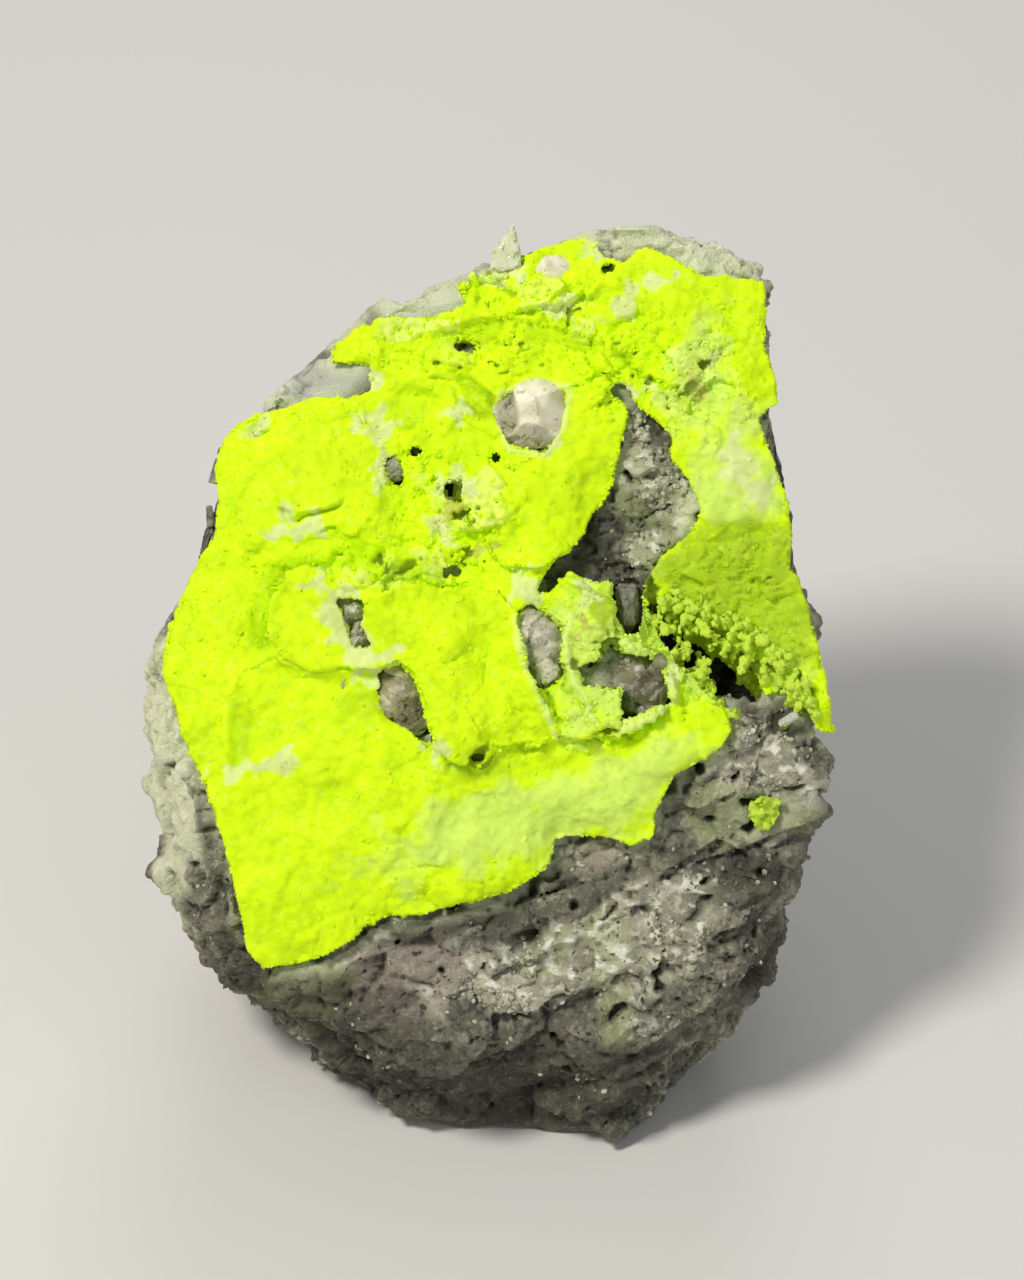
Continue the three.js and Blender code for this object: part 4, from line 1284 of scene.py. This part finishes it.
druse = copy_of("pocket_druse", "pocket_druse_knobs")
push(druse, -1.7 - 1.2 * covered_by(crust_tree, points_of(druse)), OUTWARD)
lining = tree_of(druse)
rock_tree = tree_of(rock)
holds = (tree_of(crust), lining, rock_tree)  # what a knob may grow on
LIPS = (  # line, knobs, balls in a knob, their step up the face, lowest and highest start
    (UPPER_LIP, 52, (3, 8), -0.28, -2.2, 0.6),
    (FRINGE, 46, (2, 5), -0.2, -0.2, 1),
    (LOWER_LIP, 34, (2, 5), 0.2, -2.2, 0.6),
)
for lip, count, reach, fall, lowest, highest in LIPS:
    for share in np.linspace(0, 1, count):
        x, y = along(lip, share)
        x, y = x + rng.normal(0, 0.5), y + rng.normal(0, 0.5)
        step = np.array([rng.normal(0, 0.12), fall, rng.normal(-0.25, 0.15)])
        root = from_face(x, y, rng.uniform(lowest, highest))
        nearest = [tree.find_nearest(root) for tree in holds]
        hold, _, _, gap = min(nearest, key=lambda found: found[3])
        start, end = on_face([root, hold])
        knob(start, step, rng.uniform(0.22, 0.44), rng.integers(*reach))
        links = math.ceil(gap / (0.3 * MM))  # a stalk joins the knob to what it grows on
        knob(start, (end - start) / links, STALK_MM, links + 1)
bpy.ops.mesh.primitive_ico_sphere_add(subdivisions=2, radius=1)
ball = bpy.context.object
radii = np.array(ball_radii)[:, None, None]
knobs = as_one_mesh("knobs", ball, np.array(ball_centres)[:, None] + radii * points_of(ball))
only(druse)
knobs.select_set(True)
bpy.ops.object.join()
even_skin(druse, 0.13)

# %% Druse: relief and paint
start = points_of(druse)
relief, tone = broken(start, 0.55, 1.1, 0.35, 6)
push(druse, relief + 0.3 * cloudy(start, 1.5, 2))
# Painted shade: the lining darkens in its dents, deeper in the pocket and between the knobs.
sunken = fade(hollowness(druse, 12), 0.02, 0.25)
deep = fade(-on_face(start)[:, 2], 0.4, 2.2)
wall = 1 - fade(distance_to(lining, start), 0.15, 0.5)  # between the knobs, in shade
paint(druse, sugar=tone, hollow=sunken, pit=np.maximum(deep, 0.95 * wall))
shade(druse)
print("knobs from", len(ball_radii), "balls")
finish_piece(druse, autunite("Knobby autunite druse", 0.6), "druse")

# %% [markdown]
# Two small dark crystals stick out at the left edge, just past the crust. Each is a six-sided prism
# that tapers a little, set where the rock's skin is nearest to its place on the face.

# %% Edge crystals
EDGE_CRYSTALS = [(-29.4, 21.4, 2.6, 0.25), (-29.9, 17.6, 2.2, -0.2)]  # x, y, length, lean
BASE_RADIUS, TIP_RADIUS = 0.62 * MM, 0.34 * MM
for x, y, length, lean in EDGE_CRYSTALS:
    foot = rock_tree.find_nearest(from_face(x, y, -3.5))[0]
    bpy.ops.mesh.primitive_cone_add(
        vertices=6, radius1=BASE_RADIUS, radius2=TIP_RADIUS, depth=length * MM,
        location=foot, rotation=(FACE_TILT - math.pi / 2, lean, 0),
    )
    crystal = bpy.context.object
    crystal.name = "edge_crystal"
    modify(crystal, "BEVEL", width=0.12 * MM, segments=2)
bpy.ops.object.select_all(action="DESELECT")
for crystal in [o for o in bpy.data.objects if o.name.startswith("edge_crystal")]:
    crystal.select_set(True)
bpy.context.view_layer.objects.active = crystal
bpy.ops.object.join()
bpy.ops.object.transform_apply(location=True, rotation=True, scale=True)
edge_crystals = bpy.context.object
edge_crystals.name = "edge_crystals"
finish_piece(edge_crystals, clear_quartz("Dark clear quartz", "565343", 0.5), "smoky_quartz")

# %% [markdown]
# The two big skins served the other pieces at full detail. Now they are decimated, which keeps the
# edges and takes triangles where the surface is plain.

# %% Thin the big skins
for skin in (rock, crust):
    before = triangles_of(skin)
    modify(skin, "DECIMATE", ratio=MOST_TRIANGLES / before)
    print(skin.name, before, "to", triangles_of(skin), "triangles")
